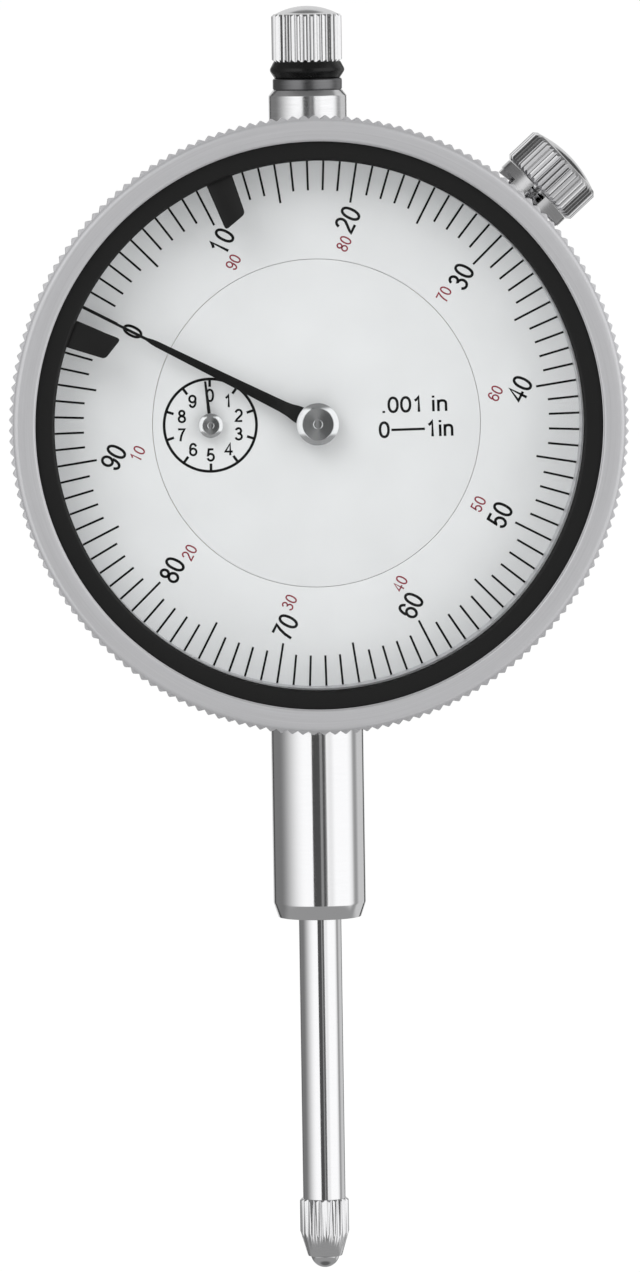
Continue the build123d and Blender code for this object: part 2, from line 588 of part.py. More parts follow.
def bezel_spring_ring():
    half = SPRING_RING_SECTION / 2
    ring = Circle(CASE_R + half) - Circle(CASE_R - half)
    ring -= Rot(0, 0, 90) * Pos(CASE_R, 0) * Rectangle(4, 3)
    return slab(ring, SPRING_RING_Y + half, SPRING_RING_Y - half)


def movement_rear_plate():
    plate = fillet(Rectangle(REAR_PLATE_WIDTH, REAR_PLATE_HEIGHT).vertices(), PLATE_CORNER)
    for place in (CENTRE_ARBOR, COUNTER_ARBOR, TAKEUP_ARBOR):
        plate -= Pos(*place) * Circle(PIVOT_DIAMETER / 2 + RUNNING_FIT)
    plate -= Pos(*RACK_ARBOR) * Circle(ARBOR_DIAMETER / 2 + RUNNING_FIT)
    for place in MOUNT_SCREWS:
        plate -= Pos(*place) * Circle(SCREW_SHANK / 2 + 0.05)
    return slab(plate, REAR_PLATE_BACK, REAR_PLATE_FRONT)


def movement_front_plate():
    plate = fillet(Rectangle(FRONT_PLATE_WIDTH, FRONT_PLATE_HEIGHT).vertices(), PLATE_CORNER)
    for place in (CENTRE_ARBOR, COUNTER_ARBOR, TAKEUP_ARBOR, RACK_ARBOR):
        plate -= Pos(*place) * Circle(PIVOT_DIAMETER / 2 + RUNNING_FIT)
    for place in PILLARS:
        plate -= Pos(*place) * Circle(SMALL_SHANK / 2 + 0.05)
    for place in DIAL_FEET:
        plate -= Pos(*place) * Circle(DIAL_FOOT_DIAMETER / 2)
    return slab(plate, FRONT_PLATE_BACK, FRONT_PLATE_FRONT)


def plate_pillars():
    pillar = Circle(PILLAR_DIAMETER / 2) - Circle(SMALL_SHANK / 2 + THREAD_GAP)
    return Compound(children=[slab(Pos(*p) * pillar, REAR_PLATE_FRONT, FRONT_PLATE_BACK) for p in PILLARS])


def plate_screws():
    return placed_screws(PILLARS, FRONT_PLATE_FRONT, SMALL_LENGTH, small=True)


def movement_screws():
    return placed_screws(MOUNT_SCREWS, REAR_PLATE_FRONT, SCREW_LENGTH)


def pinion_bridge():
    middle = ((BRIDGE_X + RACK_ARBOR[0]) / 2, RACK_ARBOR[1])
    plate = Pos(*middle) * Rectangle(BRIDGE_POST_OFFSET, 2.2) + Pos(*RACK_ARBOR) * Circle(1.1)
    plate += Pos(BRIDGE_X, RACK_ARBOR[1]) * Rectangle(2.2, BRIDGE_POST_SPREAD)
    for place in BRIDGE_POSTS:
        plate += Pos(*place) * Circle(1.1)
    bridge = slab(plate, BRIDGE_REAR, BRIDGE_FRONT)
    bridge -= rod(RACK_ARBOR, PIVOT_DIAMETER / 2 + RUNNING_FIT, BRIDGE_REAR + 1, BRIDGE_FRONT - 1)
    for place in BRIDGE_POSTS:
        bridge += rod(place, 1.1, BRIDGE_FRONT, REAR_PLATE_BACK)
        bridge -= rod(place, SMALL_SHANK / 2 + THREAD_GAP, BRIDGE_REAR + 1, BRIDGE_REAR - SMALL_LENGTH - 0.2)
    return bridge


def bridge_screws():
    return placed_screws(BRIDGE_POSTS, BRIDGE_REAR, SMALL_LENGTH, small=True, from_rear=True)


def inner_dial():
    disc = Circle(INNER_DIAL_DIAMETER / 2)
    disc -= Pos(*CENTRE_ARBOR) * Circle(ARBOR_DIAMETER / 2 + 0.4)
    disc -= Pos(*COUNTER_ARBOR) * Circle(PIVOT_DIAMETER / 2 + 0.3)
    return slab(disc, DIAL_BACK, DIAL_FRONT)


def dial_feet():
    radius = DIAL_FOOT_DIAMETER / 2
    return Compound(children=[rod(p, radius, FRONT_PLATE_BACK, DIAL_BACK) for p in DIAL_FEET])


def guide_plate():
    centre_z = (GUIDE_PLATE_TOP - GUIDE_PLATE_BOTTOM) / 2
    strip = Pos(GUIDE_PIN_X, centre_z) * Rectangle(GUIDE_PLATE_WIDTH, GUIDE_PLATE_TOP + GUIDE_PLATE_BOTTOM)
    strip = fillet(strip.vertices(), 0.8)
    ear_middle = (GUIDE_PIN_X + GUIDE_EAR_X) / 2
    strip += Pos(ear_middle, GUIDE_EAR_Z) * Rectangle(GUIDE_EAR_X - GUIDE_PIN_X, GUIDE_BOSS_DIAMETER)
    strip += Pos(GUIDE_EAR_X, GUIDE_EAR_Z) * Circle(GUIDE_BOSS_DIAMETER / 2)
    slot_low = -GUIDE_ARM_DROP - FREE_GAP
    slot_high = -GUIDE_ARM_DROP + TRAVEL + FREE_GAP
    slot_width = GUIDE_PIN_DIAMETER + 2 * RUNNING_FIT
    slot_length = slot_high - slot_low + slot_width
    slot = Rot(0, 0, 90) * SlotOverall(slot_length, slot_width)
    strip -= Pos(GUIDE_PIN_X, (slot_low + slot_high) / 2) * slot
    for place in GUIDE_SCREWS:
        strip -= Pos(*place) * Circle(SCREW_SHANK / 2 + 0.05)
    return slab(strip, GUIDE_PLATE_REAR, GUIDE_PLATE_FRONT)


def guide_plate_screws():
    return placed_screws(GUIDE_SCREWS, GUIDE_PLATE_REAR, SCREW_LENGTH, from_rear=True)


def spring_post():
    foot = DIAL_HEIGHT + SPRING_FOOT - 0.3 - SPRING_POST_LENGTH / 2
    return Pos(0, SPRING_Y, foot) * extrude(Circle(SPRING_POST_DIAMETER / 2), amount=SPRING_POST_LENGTH)


def return_spring():
    radius = (SPRING_DIAMETER - SPRING_WIRE) / 2
    length = SPRING_HEAD - SPRING_FOOT - SPRING_WIRE
    path = Helix(pitch=length / SPRING_TURNS, height=length, radius=radius)
    section = Plane(origin=path @ 0, z_dir=path % 0) * Rectangle(SPRING_WIRE, SPRING_WIRE)
    coil = sweep(section, path=path, is_frenet=True)
    return Pos(0, SPRING_Y, DIAL_HEIGHT + SPRING_FOOT + SPRING_WIRE / 2) * coil


def hairspring():
    """Flat spiral drawn as half circles, each half a pitch larger than the last."""
    strips = None
    radius = HAIRSPRING_START
    centre = 0.0
    side = 1
    step = HAIRSPRING_PITCH / 2
    for i in range(2 * HAIRSPRING_TURNS):
        half = Circle(radius) - Circle(radius - HAIRSPRING_STRIP)
        half &= Pos(0, side * radius) * Rectangle(2 * radius + 1, 2 * radius)
        half = Pos(centre, 0) * half
        strips = half if strips is None else strips + half
        far_end = centre - side * radius
        radius += step
        centre = far_end + side * radius
        side = -side
    strips = Pos(*TAKEUP_ARBOR) * strips
    return slab(strips, COUNTER_GEAR_BACK, COUNTER_GEAR_BACK - HAIRSPRING_WIDTH)


def hairspring_stud():
    return rod(STUD_PLACE, STUD_DIAMETER / 2, REAR_PLATE_FRONT, COUNTER_GEAR_FRONT)


def plunger():
    top = KNOB_FOOT_Z + KNOB_THREAD_LENGTH
    seat_r = O_RING_DIAMETER / 2 - O_RING_SECTION - RUNNING_FIT
    body = stem_turned([
        (0, CONTACT_TOP_Z), (PLUNGER_R, CONTACT_TOP_Z), (PLUNGER_R, COLLAR_TOP_Z), (seat_r, COLLAR_TOP_Z),
        (seat_r, KNOB_FOOT_Z), (KNOB_THREAD / 2, KNOB_FOOT_Z), (KNOB_THREAD / 2, top), (0, top),
    ])
    body -= Pos(0, 0, CONTACT_TOP_Z) * extrude(
        Circle(CONTACT_THREAD / 2 + THREAD_GAP), amount=CONTACT_THREAD_LENGTH + 0.3
    )
    screw_z = DIAL_HEIGHT - GUIDE_ARM_DROP
    thread = extrude(Circle(SMALL_SHANK / 2 + THREAD_GAP), amount=PLUNGER_R + 1)
    body -= Pos(0, 0, screw_z) * Rot(-90, 0, 0) * thread
    return body - rack_cutter()


def rack_cutter():
    """Milled flat and tooth gaps on the left side, a gap centred at the rack arbor's height."""
    slope = tan(radians(PRESSURE_ANGLE))
    tip_half = (RACK_PITCH / 2 - GEAR_BACKLASH) / 2 - ADDENDUM * RACK_MODULE * slope
    root_half = (RACK_PITCH / 2 - GEAR_BACKLASH) / 2 + DEDENDUM * RACK_MODULE * slope
    outside = -(PLUNGER_R + 1)
    first = RACK_ARBOR_RISE + RACK_PITCH * 4.5 - RACK_PITCH * (RACK_TEETH - 1)
    points = [(outside, first - RACK_PITCH / 2)]
    points.append((-RACK_ROOT, first - RACK_PITCH / 2))
    for i in range(RACK_TEETH):
        z = first + i * RACK_PITCH
        points += [(-RACK_ROOT, z - root_half), (-RACK_TIP, z - tip_half)]
        points += [(-RACK_TIP, z + tip_half), (-RACK_ROOT, z + root_half)]
    last = first + (RACK_TEETH - 0.5) * RACK_PITCH
    points += [(-RACK_ROOT, last), (outside, last)]
    outline = make_face(Polyline(*points, close=True))
    return slab(outline, PLUNGER_DIAMETER, -PLUNGER_DIAMETER)


def contact_body():
    r = CONTACT_DIAMETER / 2
    foot = CONTACT_TOP_Z - CONTACT_KNURL_LENGTH
    tip = foot - CONTACT_CONE_LENGTH
    edge = CONTACT_FLUTE_DEPTH
    thread = CONTACT_THREAD / 2
    over = r + KNURL_BLANK
    slope = CONTACT_CONE_LENGTH / (r - CONTACT_CONE_END / 2)
    body = stem_turned([
        (0, CONTACT_TOP_Z + CONTACT_THREAD_LENGTH), (thread, CONTACT_TOP_Z + CONTACT_THREAD_LENGTH),
        (thread, CONTACT_TOP_Z), (r - edge, CONTACT_TOP_Z), (over, CONTACT_TOP_Z - edge - KNURL_BLANK),
        (over, foot + KNURL_BLANK * slope), (CONTACT_CONE_END / 2, tip), (0, tip),
    ])
    flutes = serrated(r, CONTACT_FLUTE_DEPTH, CONTACT_FLUTES)
    body &= Pos(0, 0, tip - 1) * extrude(flutes, amount=CONTACT_TOP_Z - tip + CONTACT_THREAD_LENGTH + 2)
    return body - Pos(0, 0, ball_z()) * Sphere(BALL_DIAMETER / 2)


def ball_z():
    return CONTACT_TOP_Z - CONTACT_KNURL_LENGTH - CONTACT_CONE_LENGTH


def contact_ball():
    return Pos(0, 0, ball_z()) * Sphere(BALL_DIAMETER / 2)


def guide_arm():
    right = GUIDE_PIN_X + GUIDE_PIN_DIAMETER / 2 + 0.6
    width = GUIDE_ARM_LEFT + right
    middle_x = (right - GUIDE_ARM_LEFT) / 2
    middle_z = DIAL_HEIGHT - GUIDE_ARM_DROP
    middle_y = GUIDE_ARM_START + GUIDE_ARM_DEPTH / 2
    arm = Pos(middle_x, middle_y, middle_z) * Box(width, GUIDE_ARM_DEPTH, GUIDE_ARM_HEIGHT)
    arm -= Pos(0, 0, middle_z) * Cylinder(PLUNGER_R, GUIDE_ARM_HEIGHT * 2)
    arm -= rod(GUIDE_PIN_PLACE, GUIDE_PIN_DIAMETER / 2, GUIDE_ARM_REAR + 1, GUIDE_PIN_FRONT)
    arm -= rod((0, -GUIDE_ARM_DROP), SMALL_SHANK / 2 + 0.05, GUIDE_ARM_REAR + 1, 0)
    tab_depth = SPRING_Y + SPRING_POST_DIAMETER / 2 - GUIDE_ARM_REAR
    tab_z = middle_z - GUIDE_ARM_HEIGHT / 2 + SPRING_TAB / 2
    return arm + Pos(0, GUIDE_ARM_REAR + tab_depth / 2, tab_z) * Box(SPRING_DIAMETER, tab_depth, SPRING_TAB)


def guide_pin():
    return rod(GUIDE_PIN_PLACE, GUIDE_PIN_DIAMETER / 2, GUIDE_PLATE_REAR + 0.3, GUIDE_PIN_FRONT)


def arm_screw():
    place = (0, -GUIDE_ARM_DROP)
    return placed_screws([place], GUIDE_ARM_REAR, SMALL_LENGTH + 0.6, small=True, from_rear=True)


def knurled_head(diameter, height, dome_height, flutes, flute_depth):
    """Knurled head standing on z = 0, with a domed top above its upper edge."""
    r = diameter / 2
    dome_r = r - HEAD_EDGE
    rise = dome_height - HEAD_EDGE
    over = r + KNURL_BLANK
    edge = HEAD_EDGE + KNURL_BLANK
    top = height + HEAD_EDGE
    blank = stem_turned([(0, 0), (dome_r, 0), (over, edge), (over, top - edge), (dome_r, top), (0, top)])
    grip = blank & Pos(0, 0, -1) * extrude(serrated(r, flute_depth, flutes), amount=top + 2)
    base_r = dome_r - flute_depth / 2
    dome_radius = (base_r ** 2 + rise ** 2) / (2 * rise)
    start = degrees(asin((dome_radius - rise) / dome_radius))
    dome = CenterArc((0, rise - dome_radius), dome_radius, start, 90 - start)
    cap = revolve(Plane.XZ * make_face([dome, Line((0, rise), (0, 0)), Line((0, 0), (base_r, 0))]), Axis.Z)
    return grip + Pos(0, 0, height + HEAD_EDGE) * cap


def lifting_knob():
    knob = knurled_head(KNOB_DIAMETER, KNOB_KNURL_HEIGHT, KNOB_DOME_HEIGHT, KNOB_FLUTES, KNOB_FLUTE_DEPTH)
    bore = Circle(KNOB_THREAD / 2 + THREAD_GAP)
    return Pos(0, 0, KNOB_FOOT_Z) * (knob - extrude(bore, amount=KNOB_THREAD_LENGTH + 0.2))


def knob_o_ring():
    minor = O_RING_SECTION / 2
    return Pos(0, 0, COLLAR_TOP_Z + minor) * Torus(O_RING_DIAMETER / 2 - minor, minor)


RACK_TO_CENTRE = direction_to(RACK_ARBOR, CENTRE_ARBOR)
RACK_TO_COUNTER = direction_to(RACK_ARBOR, COUNTER_ARBOR)
CENTRE_TO_TAKEUP = TAKEUP_DIRECTION
DRIVE_TOOTH = RACK_TO_CENTRE
CENTRE_TOOTH = mesh_angle(DRIVE_TOOTH, DRIVE_TEETH, RACK_TO_CENTRE, CENTRE_TEETH)
TAKEUP_TOOTH = mesh_angle(CENTRE_TOOTH, CENTRE_TEETH, CENTRE_TO_TAKEUP, TAKEUP_TEETH)
COUNTER_PINION_TOOTH = RACK_TO_COUNTER
COUNTER_TOOTH = mesh_angle(COUNTER_PINION_TOOTH, COUNTER_PINION_TEETH, RACK_TO_COUNTER, COUNTER_TEETH)


def rack_arbor():
    arbor = rod(RACK_ARBOR, PIVOT_DIAMETER / 2, BRIDGE_REAR, FRONT_PLATE_FRONT + 0.1)
    arbor += rod(RACK_ARBOR, ARBOR_DIAMETER / 2, RACK_PINION_WIDTH / 2, FRONT_PLATE_BACK + 0.2)
    pinion = Pos(*RACK_ARBOR) * gear_outline(RACK_PINION_TEETH, RACK_MODULE, 0, 3)
    return arbor + slab(pinion, RACK_PINION_WIDTH / 2, -RACK_PINION_WIDTH / 2)


def drive_wheel():
    wheel = gear_outline(DRIVE_TEETH, DRIVE_MODULE, DRIVE_TOOTH, 1)
    wheel -= wheel_windows(DRIVE_MODULE * DRIVE_TEETH / 2)
    wheel -= Circle(ARBOR_DIAMETER / 2)
    return slab(Pos(*RACK_ARBOR) * wheel, DRIVE_GEAR_BACK, DRIVE_GEAR_FRONT)


def counter_pinion():
    pinion = gear_outline(COUNTER_PINION_TEETH, COUNTER_MODULE, COUNTER_PINION_TOOTH, 2)
    pinion -= Circle(ARBOR_DIAMETER / 2)
    return slab(Pos(*RACK_ARBOR) * pinion, COUNTER_GEAR_BACK, COUNTER_GEAR_FRONT)


def centre_arbor():
    hand_front = POINTER_BACK - POINTER_THICKNESS
    arbor = rod(CENTRE_ARBOR, PIVOT_DIAMETER / 2, REAR_PLATE_BACK - 0.1, hand_front)
    arbor += rod(CENTRE_ARBOR, ARBOR_DIAMETER / 2, REAR_PLATE_FRONT - 0.1, DRIVE_GEAR_BACK)
    pinion = gear_outline(CENTRE_TEETH, DRIVE_MODULE, CENTRE_TOOTH, 3)
    return arbor + slab(pinion, DRIVE_GEAR_BACK + 0.1, DRIVE_GEAR_FRONT - 0.1)


def takeup_arbor():
    return rod(TAKEUP_ARBOR, PIVOT_DIAMETER / 2, REAR_PLATE_BACK - 0.1, FRONT_PLATE_FRONT + 0.1)


def takeup_wheel():
    wheel = gear_outline(TAKEUP_TEETH, DRIVE_MODULE, TAKEUP_TOOTH, 1)
    wheel -= wheel_windows(DRIVE_MODULE * TAKEUP_TEETH / 2)
    wheel -= Circle(PIVOT_DIAMETER / 2)
    return slab(Pos(*TAKEUP_ARBOR) * wheel, DRIVE_GEAR_BACK, DRIVE_GEAR_FRONT)


def hairspring_collet():
    collet = Circle(COLLET_DIAMETER / 2) - Circle(PIVOT_DIAMETER / 2)
    return slab(Pos(*TAKEUP_ARBOR) * collet, REAR_PLATE_FRONT - 0.1, DRIVE_GEAR_BACK)


def counter_arbor():
    return rod(COUNTER_ARBOR, PIVOT_DIAMETER / 2, REAR_PLATE_BACK - 0.1, COUNTER_HAND_BACK - 0.2)


def counter_wheel():
    wheel = gear_outline(COUNTER_TEETH, COUNTER_MODULE, COUNTER_TOOTH, 1)
    wheel -= wheel_windows(COUNTER_MODULE * COUNTER_TEETH / 2)
    wheel -= Circle(PIVOT_DIAMETER / 2)
    return slab(Pos(*COUNTER_ARBOR) * wheel, COUNTER_GEAR_BACK, COUNTER_GEAR_FRONT)


def pointer():
    blade = POINTER_BLADE_WIDTH / 2
    blade_tip = POINTER_BLADE_TIP_WIDTH / 2
    needle = POINTER_NEEDLE_WIDTH / 2
    neck = 1.2
    outline = make_face(Polyline(
        (-blade, 0), (blade, 0), (blade_tip, POINTER_BLADE_LENGTH), (needle, POINTER_BLADE_LENGTH + neck),
        (needle * 0.8, POINTER_LENGTH), (-needle * 0.8, POINTER_LENGTH),
        (-needle, POINTER_BLADE_LENGTH + neck), (-blade_tip, POINTER_BLADE_LENGTH), close=True,
    ))
    outline += Circle(POINTER_TAIL)
    outline -= Circle(PIVOT_DIAMETER / 2)
    return slab(Rot(0, 0, -POINTER_ANGLE) * outline, POINTER_BACK, POINTER_BACK - POINTER_THICKNESS)


def turned_hub(place, diameter, face, back, front):
    """Bushed cap with a bevelled edge and a small centre dimple."""
    r = diameter / 2
    edge = (diameter - face) / 4
    dimple = r / 6
    hub = revolve(make_face(Polyline(
        (0, back), (r, back), (r, front + edge), (face / 2, front), (dimple, front), (0, front + dimple),
        close=True,
    )), Axis.Y)
    return Pos(place[0], 0, DIAL_HEIGHT + place[1]) * hub


def pointer_hub():
    back = POINTER_BACK + 0.35
    hub = turned_hub(CENTRE_ARBOR, POINTER_HUB_DIAMETER, POINTER_HUB_FACE, back, back - POINTER_HUB_HEIGHT)
    seat = POINTER_BACK - POINTER_THICKNESS
    hub -= rod(CENTRE_ARBOR, PIVOT_DIAMETER / 2, back + 1, seat)
    return hub - rod(CENTRE_ARBOR, POINTER_HUB_DIAMETER, back + 1, seat)


def counter_hand():
    base = COUNTER_HAND_WIDTH / 2
    tip = COUNTER_HAND_TIP_WIDTH / 2
    outline = make_face(Polyline(
        (-base, 0), (base, 0), (tip, COUNTER_HAND_LENGTH), (-tip, COUNTER_HAND_LENGTH), close=True
    ))
    outline += Circle(COUNTER_HUB_DIAMETER / 2 - 0.2)
    outline -= Circle(PIVOT_DIAMETER / 2)
    turned = Pos(*COUNTER_ARBOR) * Rot(0, 0, -COUNTER_HAND_ANGLE) * outline
    return slab(turned, COUNTER_HAND_BACK, COUNTER_HAND_BACK - 0.2)


def counter_hub():
    seat = COUNTER_HAND_BACK - 0.2
    front = COUNTER_HAND_BACK - COUNTER_HUB_HEIGHT + 0.2
    return turned_hub(COUNTER_ARBOR, COUNTER_HUB_DIAMETER, COUNTER_HUB_FACE, seat, front)


def bezel():
    r = BEZEL_R
    face = r - BEZEL_CHAMFER
    bore = BORE_R
    wall = DIAL_WALL_R
    rim = BEZEL_RIM_R
    over = r + KNURL_BLANK
    knurl_rear = BEZEL_FRONT + BEZEL_KNURL_LENGTH
    ring = dial_turned([
        (face, BEZEL_FRONT), (over, BEZEL_FRONT + BEZEL_CHAMFER + KNURL_BLANK), (over, knurl_rear),
        (rim, knurl_rear), (rim, BEZEL_REAR - BEZEL_RIM_EDGE), (rim - BEZEL_RIM_EDGE, BEZEL_REAR),
        (bore, BEZEL_REAR), (bore, WEB_REAR), (SLEEVE_R, WEB_REAR), (SLEEVE_R, SLEEVE_REAR),
        (DIAL_R, SLEEVE_REAR), (DIAL_R, DIAL_FRONT), (wall, DIAL_FRONT), (wall, CRYSTAL_BACK),
        (bore, CRYSTAL_BACK), (bore, LIP_FRONT - BEZEL_FRONT_STEP / 3), (bore + BEZEL_BEVEL, BEZEL_FRONT),
    ])
    knurl = slab(serrated(r, BEZEL_TOOTH_DEPTH, BEZEL_TEETH), BEZEL_REAR + 5, BEZEL_FRONT - 1)
    ring &= knurl
    groove_r = CASE_R + SPRING_RING_SECTION / 2 + 0.03
    groove = SPRING_RING_SECTION / 2 + 0.03
    return ring - dial_turned([
        (bore - 0.2, SPRING_RING_Y + groove), (groove_r, SPRING_RING_Y + groove),
        (groove_r, SPRING_RING_Y - groove), (bore - 0.2, SPRING_RING_Y - groove),
    ])


def crystal():
    return slab(Circle(BORE_R), CRYSTAL_BACK, CRYSTAL_FRONT)


def crystal_ring():
    outer = BORE_R
    inner = RING_INNER_R
    foot = outer - CRYSTAL_RING_WALL
    edge = CRYSTAL_RING_LIP / 2
    return dial_turned([
        (foot, CRYSTAL_FRONT), (outer, CRYSTAL_FRONT), (outer, LIP_FRONT), (inner + edge, LIP_FRONT),
        (inner, LIP_FRONT + edge), (inner, LIP_BACK), (foot, LIP_BACK),
    ])


def marker(angle, tip_side):
    """Flat marker that runs under the ring's lip; tip_side is +1 when its long edge is the clockwise one."""
    seat_r = BORE_R - CRYSTAL_RING_WALL - RUNNING_FIT
    seat = Circle(seat_r) - Circle(seat_r - MARKER_SEAT_WIDTH)
    half = tan(radians(MARKER_SPAN / 2)) * seat_r
    root = seat_r - MARKER_SEAT_WIDTH / 2
    seat &= Pos(0, seat_r) * Rectangle(2 * half, seat_r)
    finger = make_face(Polyline(
        (-half, root), (half, root), (half * 0.9, RING_INNER_R - MARKER_REACH),
        (-half * 0.8, RING_INNER_R - MARKER_SHORT_REACH), close=True,
    ))
    corners = finger.vertices().sort_by(Axis.Y)[:2]
    finger = fillet(corners, MARKER_CORNER)
    shape = seat + finger
    if tip_side < 0:
        shape = mirror(shape, about=Plane.YZ)
    return slab(Rot(0, 0, -angle) * shape, MARKER_BACK, MARKER_FRONT)


def low_marker():
    return marker(LOW_MARKER_ANGLE, 1)


def high_marker():
    return marker(HIGH_MARKER_ANGLE, -1)


def dial_ring():
    inner = INNER_DIAL_DIAMETER / 2 + RUNNING_FIT
    return slab(Circle(DIAL_R) - Circle(inner), DIAL_BACK, DIAL_FRONT)


def dial_retaining_ring():
    outer = DIAL_R
    ring = Circle(outer) - Circle(outer - DIAL_RETAINER_WIDTH)
    ring -= Rot(0, 0, -90) * Pos(outer, 0) * Rectangle(4, 2)
    return slab(ring, DIAL_BACK + DIAL_RETAINER_THICKNESS, DIAL_BACK)


def clamp_shoe():
    r = CLAMP_SHOE_DIAMETER / 2
    washer = extrude(Circle(r), amount=CLAMP_SHOE_THICKNESS)
    drop = CLAMP_SHOE_RADIUS - BEZEL_RIM_R - CLAMP_TOE_GAP
    toe = Pos(0, 0, -drop) * extrude(Circle(r), amount=drop)
    toe_rear = -CLAMP_REAR_OFFSET - BEZEL_REAR - 0.05
    toe &= Pos(0, -r - toe_rear, -drop / 2) * Box(2 * r, 2 * r, drop * 2)
    shoe = washer + toe
    bore = CLAMP_THREAD / 2 + 0.1
    shoe -= Pos(0, 0, -1) * extrude(Circle(bore), amount=CLAMP_SHOE_THICKNESS + 2)
    shoe -= Pos(0, -r, 0) * Box(CLAMP_SHOE_NOTCH, 2 * r, 4 * CLAMP_SHOE_THICKNESS)
    return clamp_placed(Pos(0, 0, CLAMP_SHOE_RADIUS) * shoe)


def clamp_screw():
    foot = CLAMP_SHOE_RADIUS + CLAMP_SHOE_THICKNESS + CLAMP_HEAD_GAP
    head = knurled_head(
        CLAMP_HEAD_DIAMETER, CLAMP_HEAD_HEIGHT, CLAMP_DOME_HEIGHT, CLAMP_FLUTES, CLAMP_FLUTE_DEPTH
    )
    end = CASE_INNER_R + FREE_GAP
    shank = Pos(0, 0, end) * extrude(Circle(CLAMP_THREAD / 2), amount=foot - end)
    return clamp_placed(Pos(0, 0, foot) * head + shank)


NODES = [
    case_body, stem, stem_bushes, upper_sleeve, upper_bush, back_cover, back_gasket, cover_screws,
    bezel_spring_ring, movement_rear_plate, movement_front_plate, plate_pillars, plate_screws,
    movement_screws, pinion_bridge, bridge_screws, inner_dial, dial_feet, guide_plate, guide_plate_screws,
    spring_post, return_spring, hairspring, hairspring_stud, plunger, contact_body, contact_ball, guide_arm,
    guide_pin, arm_screw, lifting_knob, knob_o_ring, rack_arbor, drive_wheel, counter_pinion, centre_arbor,
    pointer, pointer_hub, takeup_arbor, takeup_wheel, hairspring_collet, counter_arbor, counter_wheel,
    counter_hand, counter_hub, bezel, crystal, crystal_ring, dial_ring, dial_retaining_ring, low_marker,
    high_marker, clamp_shoe, clamp_screw,
]

os.makedirs("parts", exist_ok=True)
for make in NODES:
    export_step(make(), f"parts/{make.__name__}.step")
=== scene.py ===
"""Plunger dial indicator: its visible pieces, finishes and studio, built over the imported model."""

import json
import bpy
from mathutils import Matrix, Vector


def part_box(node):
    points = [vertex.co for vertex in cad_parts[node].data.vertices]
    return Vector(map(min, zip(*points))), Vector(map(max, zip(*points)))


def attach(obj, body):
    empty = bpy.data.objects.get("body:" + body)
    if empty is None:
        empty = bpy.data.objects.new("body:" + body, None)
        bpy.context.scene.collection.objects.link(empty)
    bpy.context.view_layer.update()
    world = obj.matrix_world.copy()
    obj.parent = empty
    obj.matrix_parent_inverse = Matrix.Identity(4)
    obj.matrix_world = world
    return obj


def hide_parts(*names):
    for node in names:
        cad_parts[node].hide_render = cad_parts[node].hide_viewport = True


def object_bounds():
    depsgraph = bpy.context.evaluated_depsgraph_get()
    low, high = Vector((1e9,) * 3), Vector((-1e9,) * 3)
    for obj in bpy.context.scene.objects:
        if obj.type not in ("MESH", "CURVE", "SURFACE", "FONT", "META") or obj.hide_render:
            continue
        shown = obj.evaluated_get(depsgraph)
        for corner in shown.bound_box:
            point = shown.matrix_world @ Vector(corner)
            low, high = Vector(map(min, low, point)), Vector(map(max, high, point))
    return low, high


bl_info = {
    "name": "Dial Indicator",
    "version": (1, 0, 0),
    "blender": (4, 5, 0),
    "location": "3D View > Sidebar > Dial Indicator",
    "description": "Builds the visible pieces of a plunger dial indicator over its packed model",
    "category": "Object",
}

from math import asin, cos, degrees, hypot, pi, radians, sin, sqrt, tan

import bmesh
import bpy
from bpy.props import FloatProperty, FloatVectorProperty, IntProperty, PointerProperty
from mathutils import Matrix, Vector

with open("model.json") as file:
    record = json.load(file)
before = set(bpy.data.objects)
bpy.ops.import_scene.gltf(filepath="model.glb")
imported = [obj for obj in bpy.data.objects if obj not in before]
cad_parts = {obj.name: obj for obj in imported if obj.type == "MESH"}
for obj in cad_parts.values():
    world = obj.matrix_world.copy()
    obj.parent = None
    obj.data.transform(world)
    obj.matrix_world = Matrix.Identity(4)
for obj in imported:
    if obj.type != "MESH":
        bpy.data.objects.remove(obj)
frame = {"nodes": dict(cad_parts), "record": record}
CAD_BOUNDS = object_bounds()

MM = 0.001
WELD = 1e-6      # vertices nearer than this are one
SLIVER = 1e-7    # shorter edges are taken out
OVERLAP = 0.01 * MM    # joined slabs of one piece reach this far into each other


def front(node):
    """How far a CAD node comes forward of the plunger axis."""
    return -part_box(node)[0].y


def rear(node):
    """How far forward of the plunger axis a CAD node's back lies; negative behind it."""
    return -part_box(node)[1].y


def radius_of(node):
    low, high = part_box(node)
    return (high.x - low.x) / 2


DIAL_Z = (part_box("bezel")[0].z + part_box("bezel")[1].z) / 2
CLAMP_ANGLE = radians(47.6)
CLAMP_Y = -3.5 * MM
CLAMP_SIDE = -1.6 * MM
POINTER_ANGLE = radians(-62.6)
ZERO_ANGLE = radians(-62.47)
COUNTER_HAND_ANGLE = radians(-6.3)
COUNTER_X = -10.87 * MM

# Each turned piece is drawn round its own Z axis, then placed. On the dial Z points at the viewer.
STEM_AXIS = Matrix.Identity(4)
DIAL_AXIS = Matrix.Translation((0, 0, DIAL_Z)) @ Matrix.Rotation(radians(90), 4, "X")
COUNTER_AXIS = DIAL_AXIS @ Matrix.Translation((COUNTER_X, 0, 0))
CLAMP_AXIS = Matrix.Translation((0, CLAMP_Y, DIAL_Z)) @ Matrix.Rotation(CLAMP_ANGLE, 4, "Y")
CLAMP_AXIS = CLAMP_AXIS @ Matrix.Translation((CLAMP_SIDE, 0, 0))


# Sizes and colours

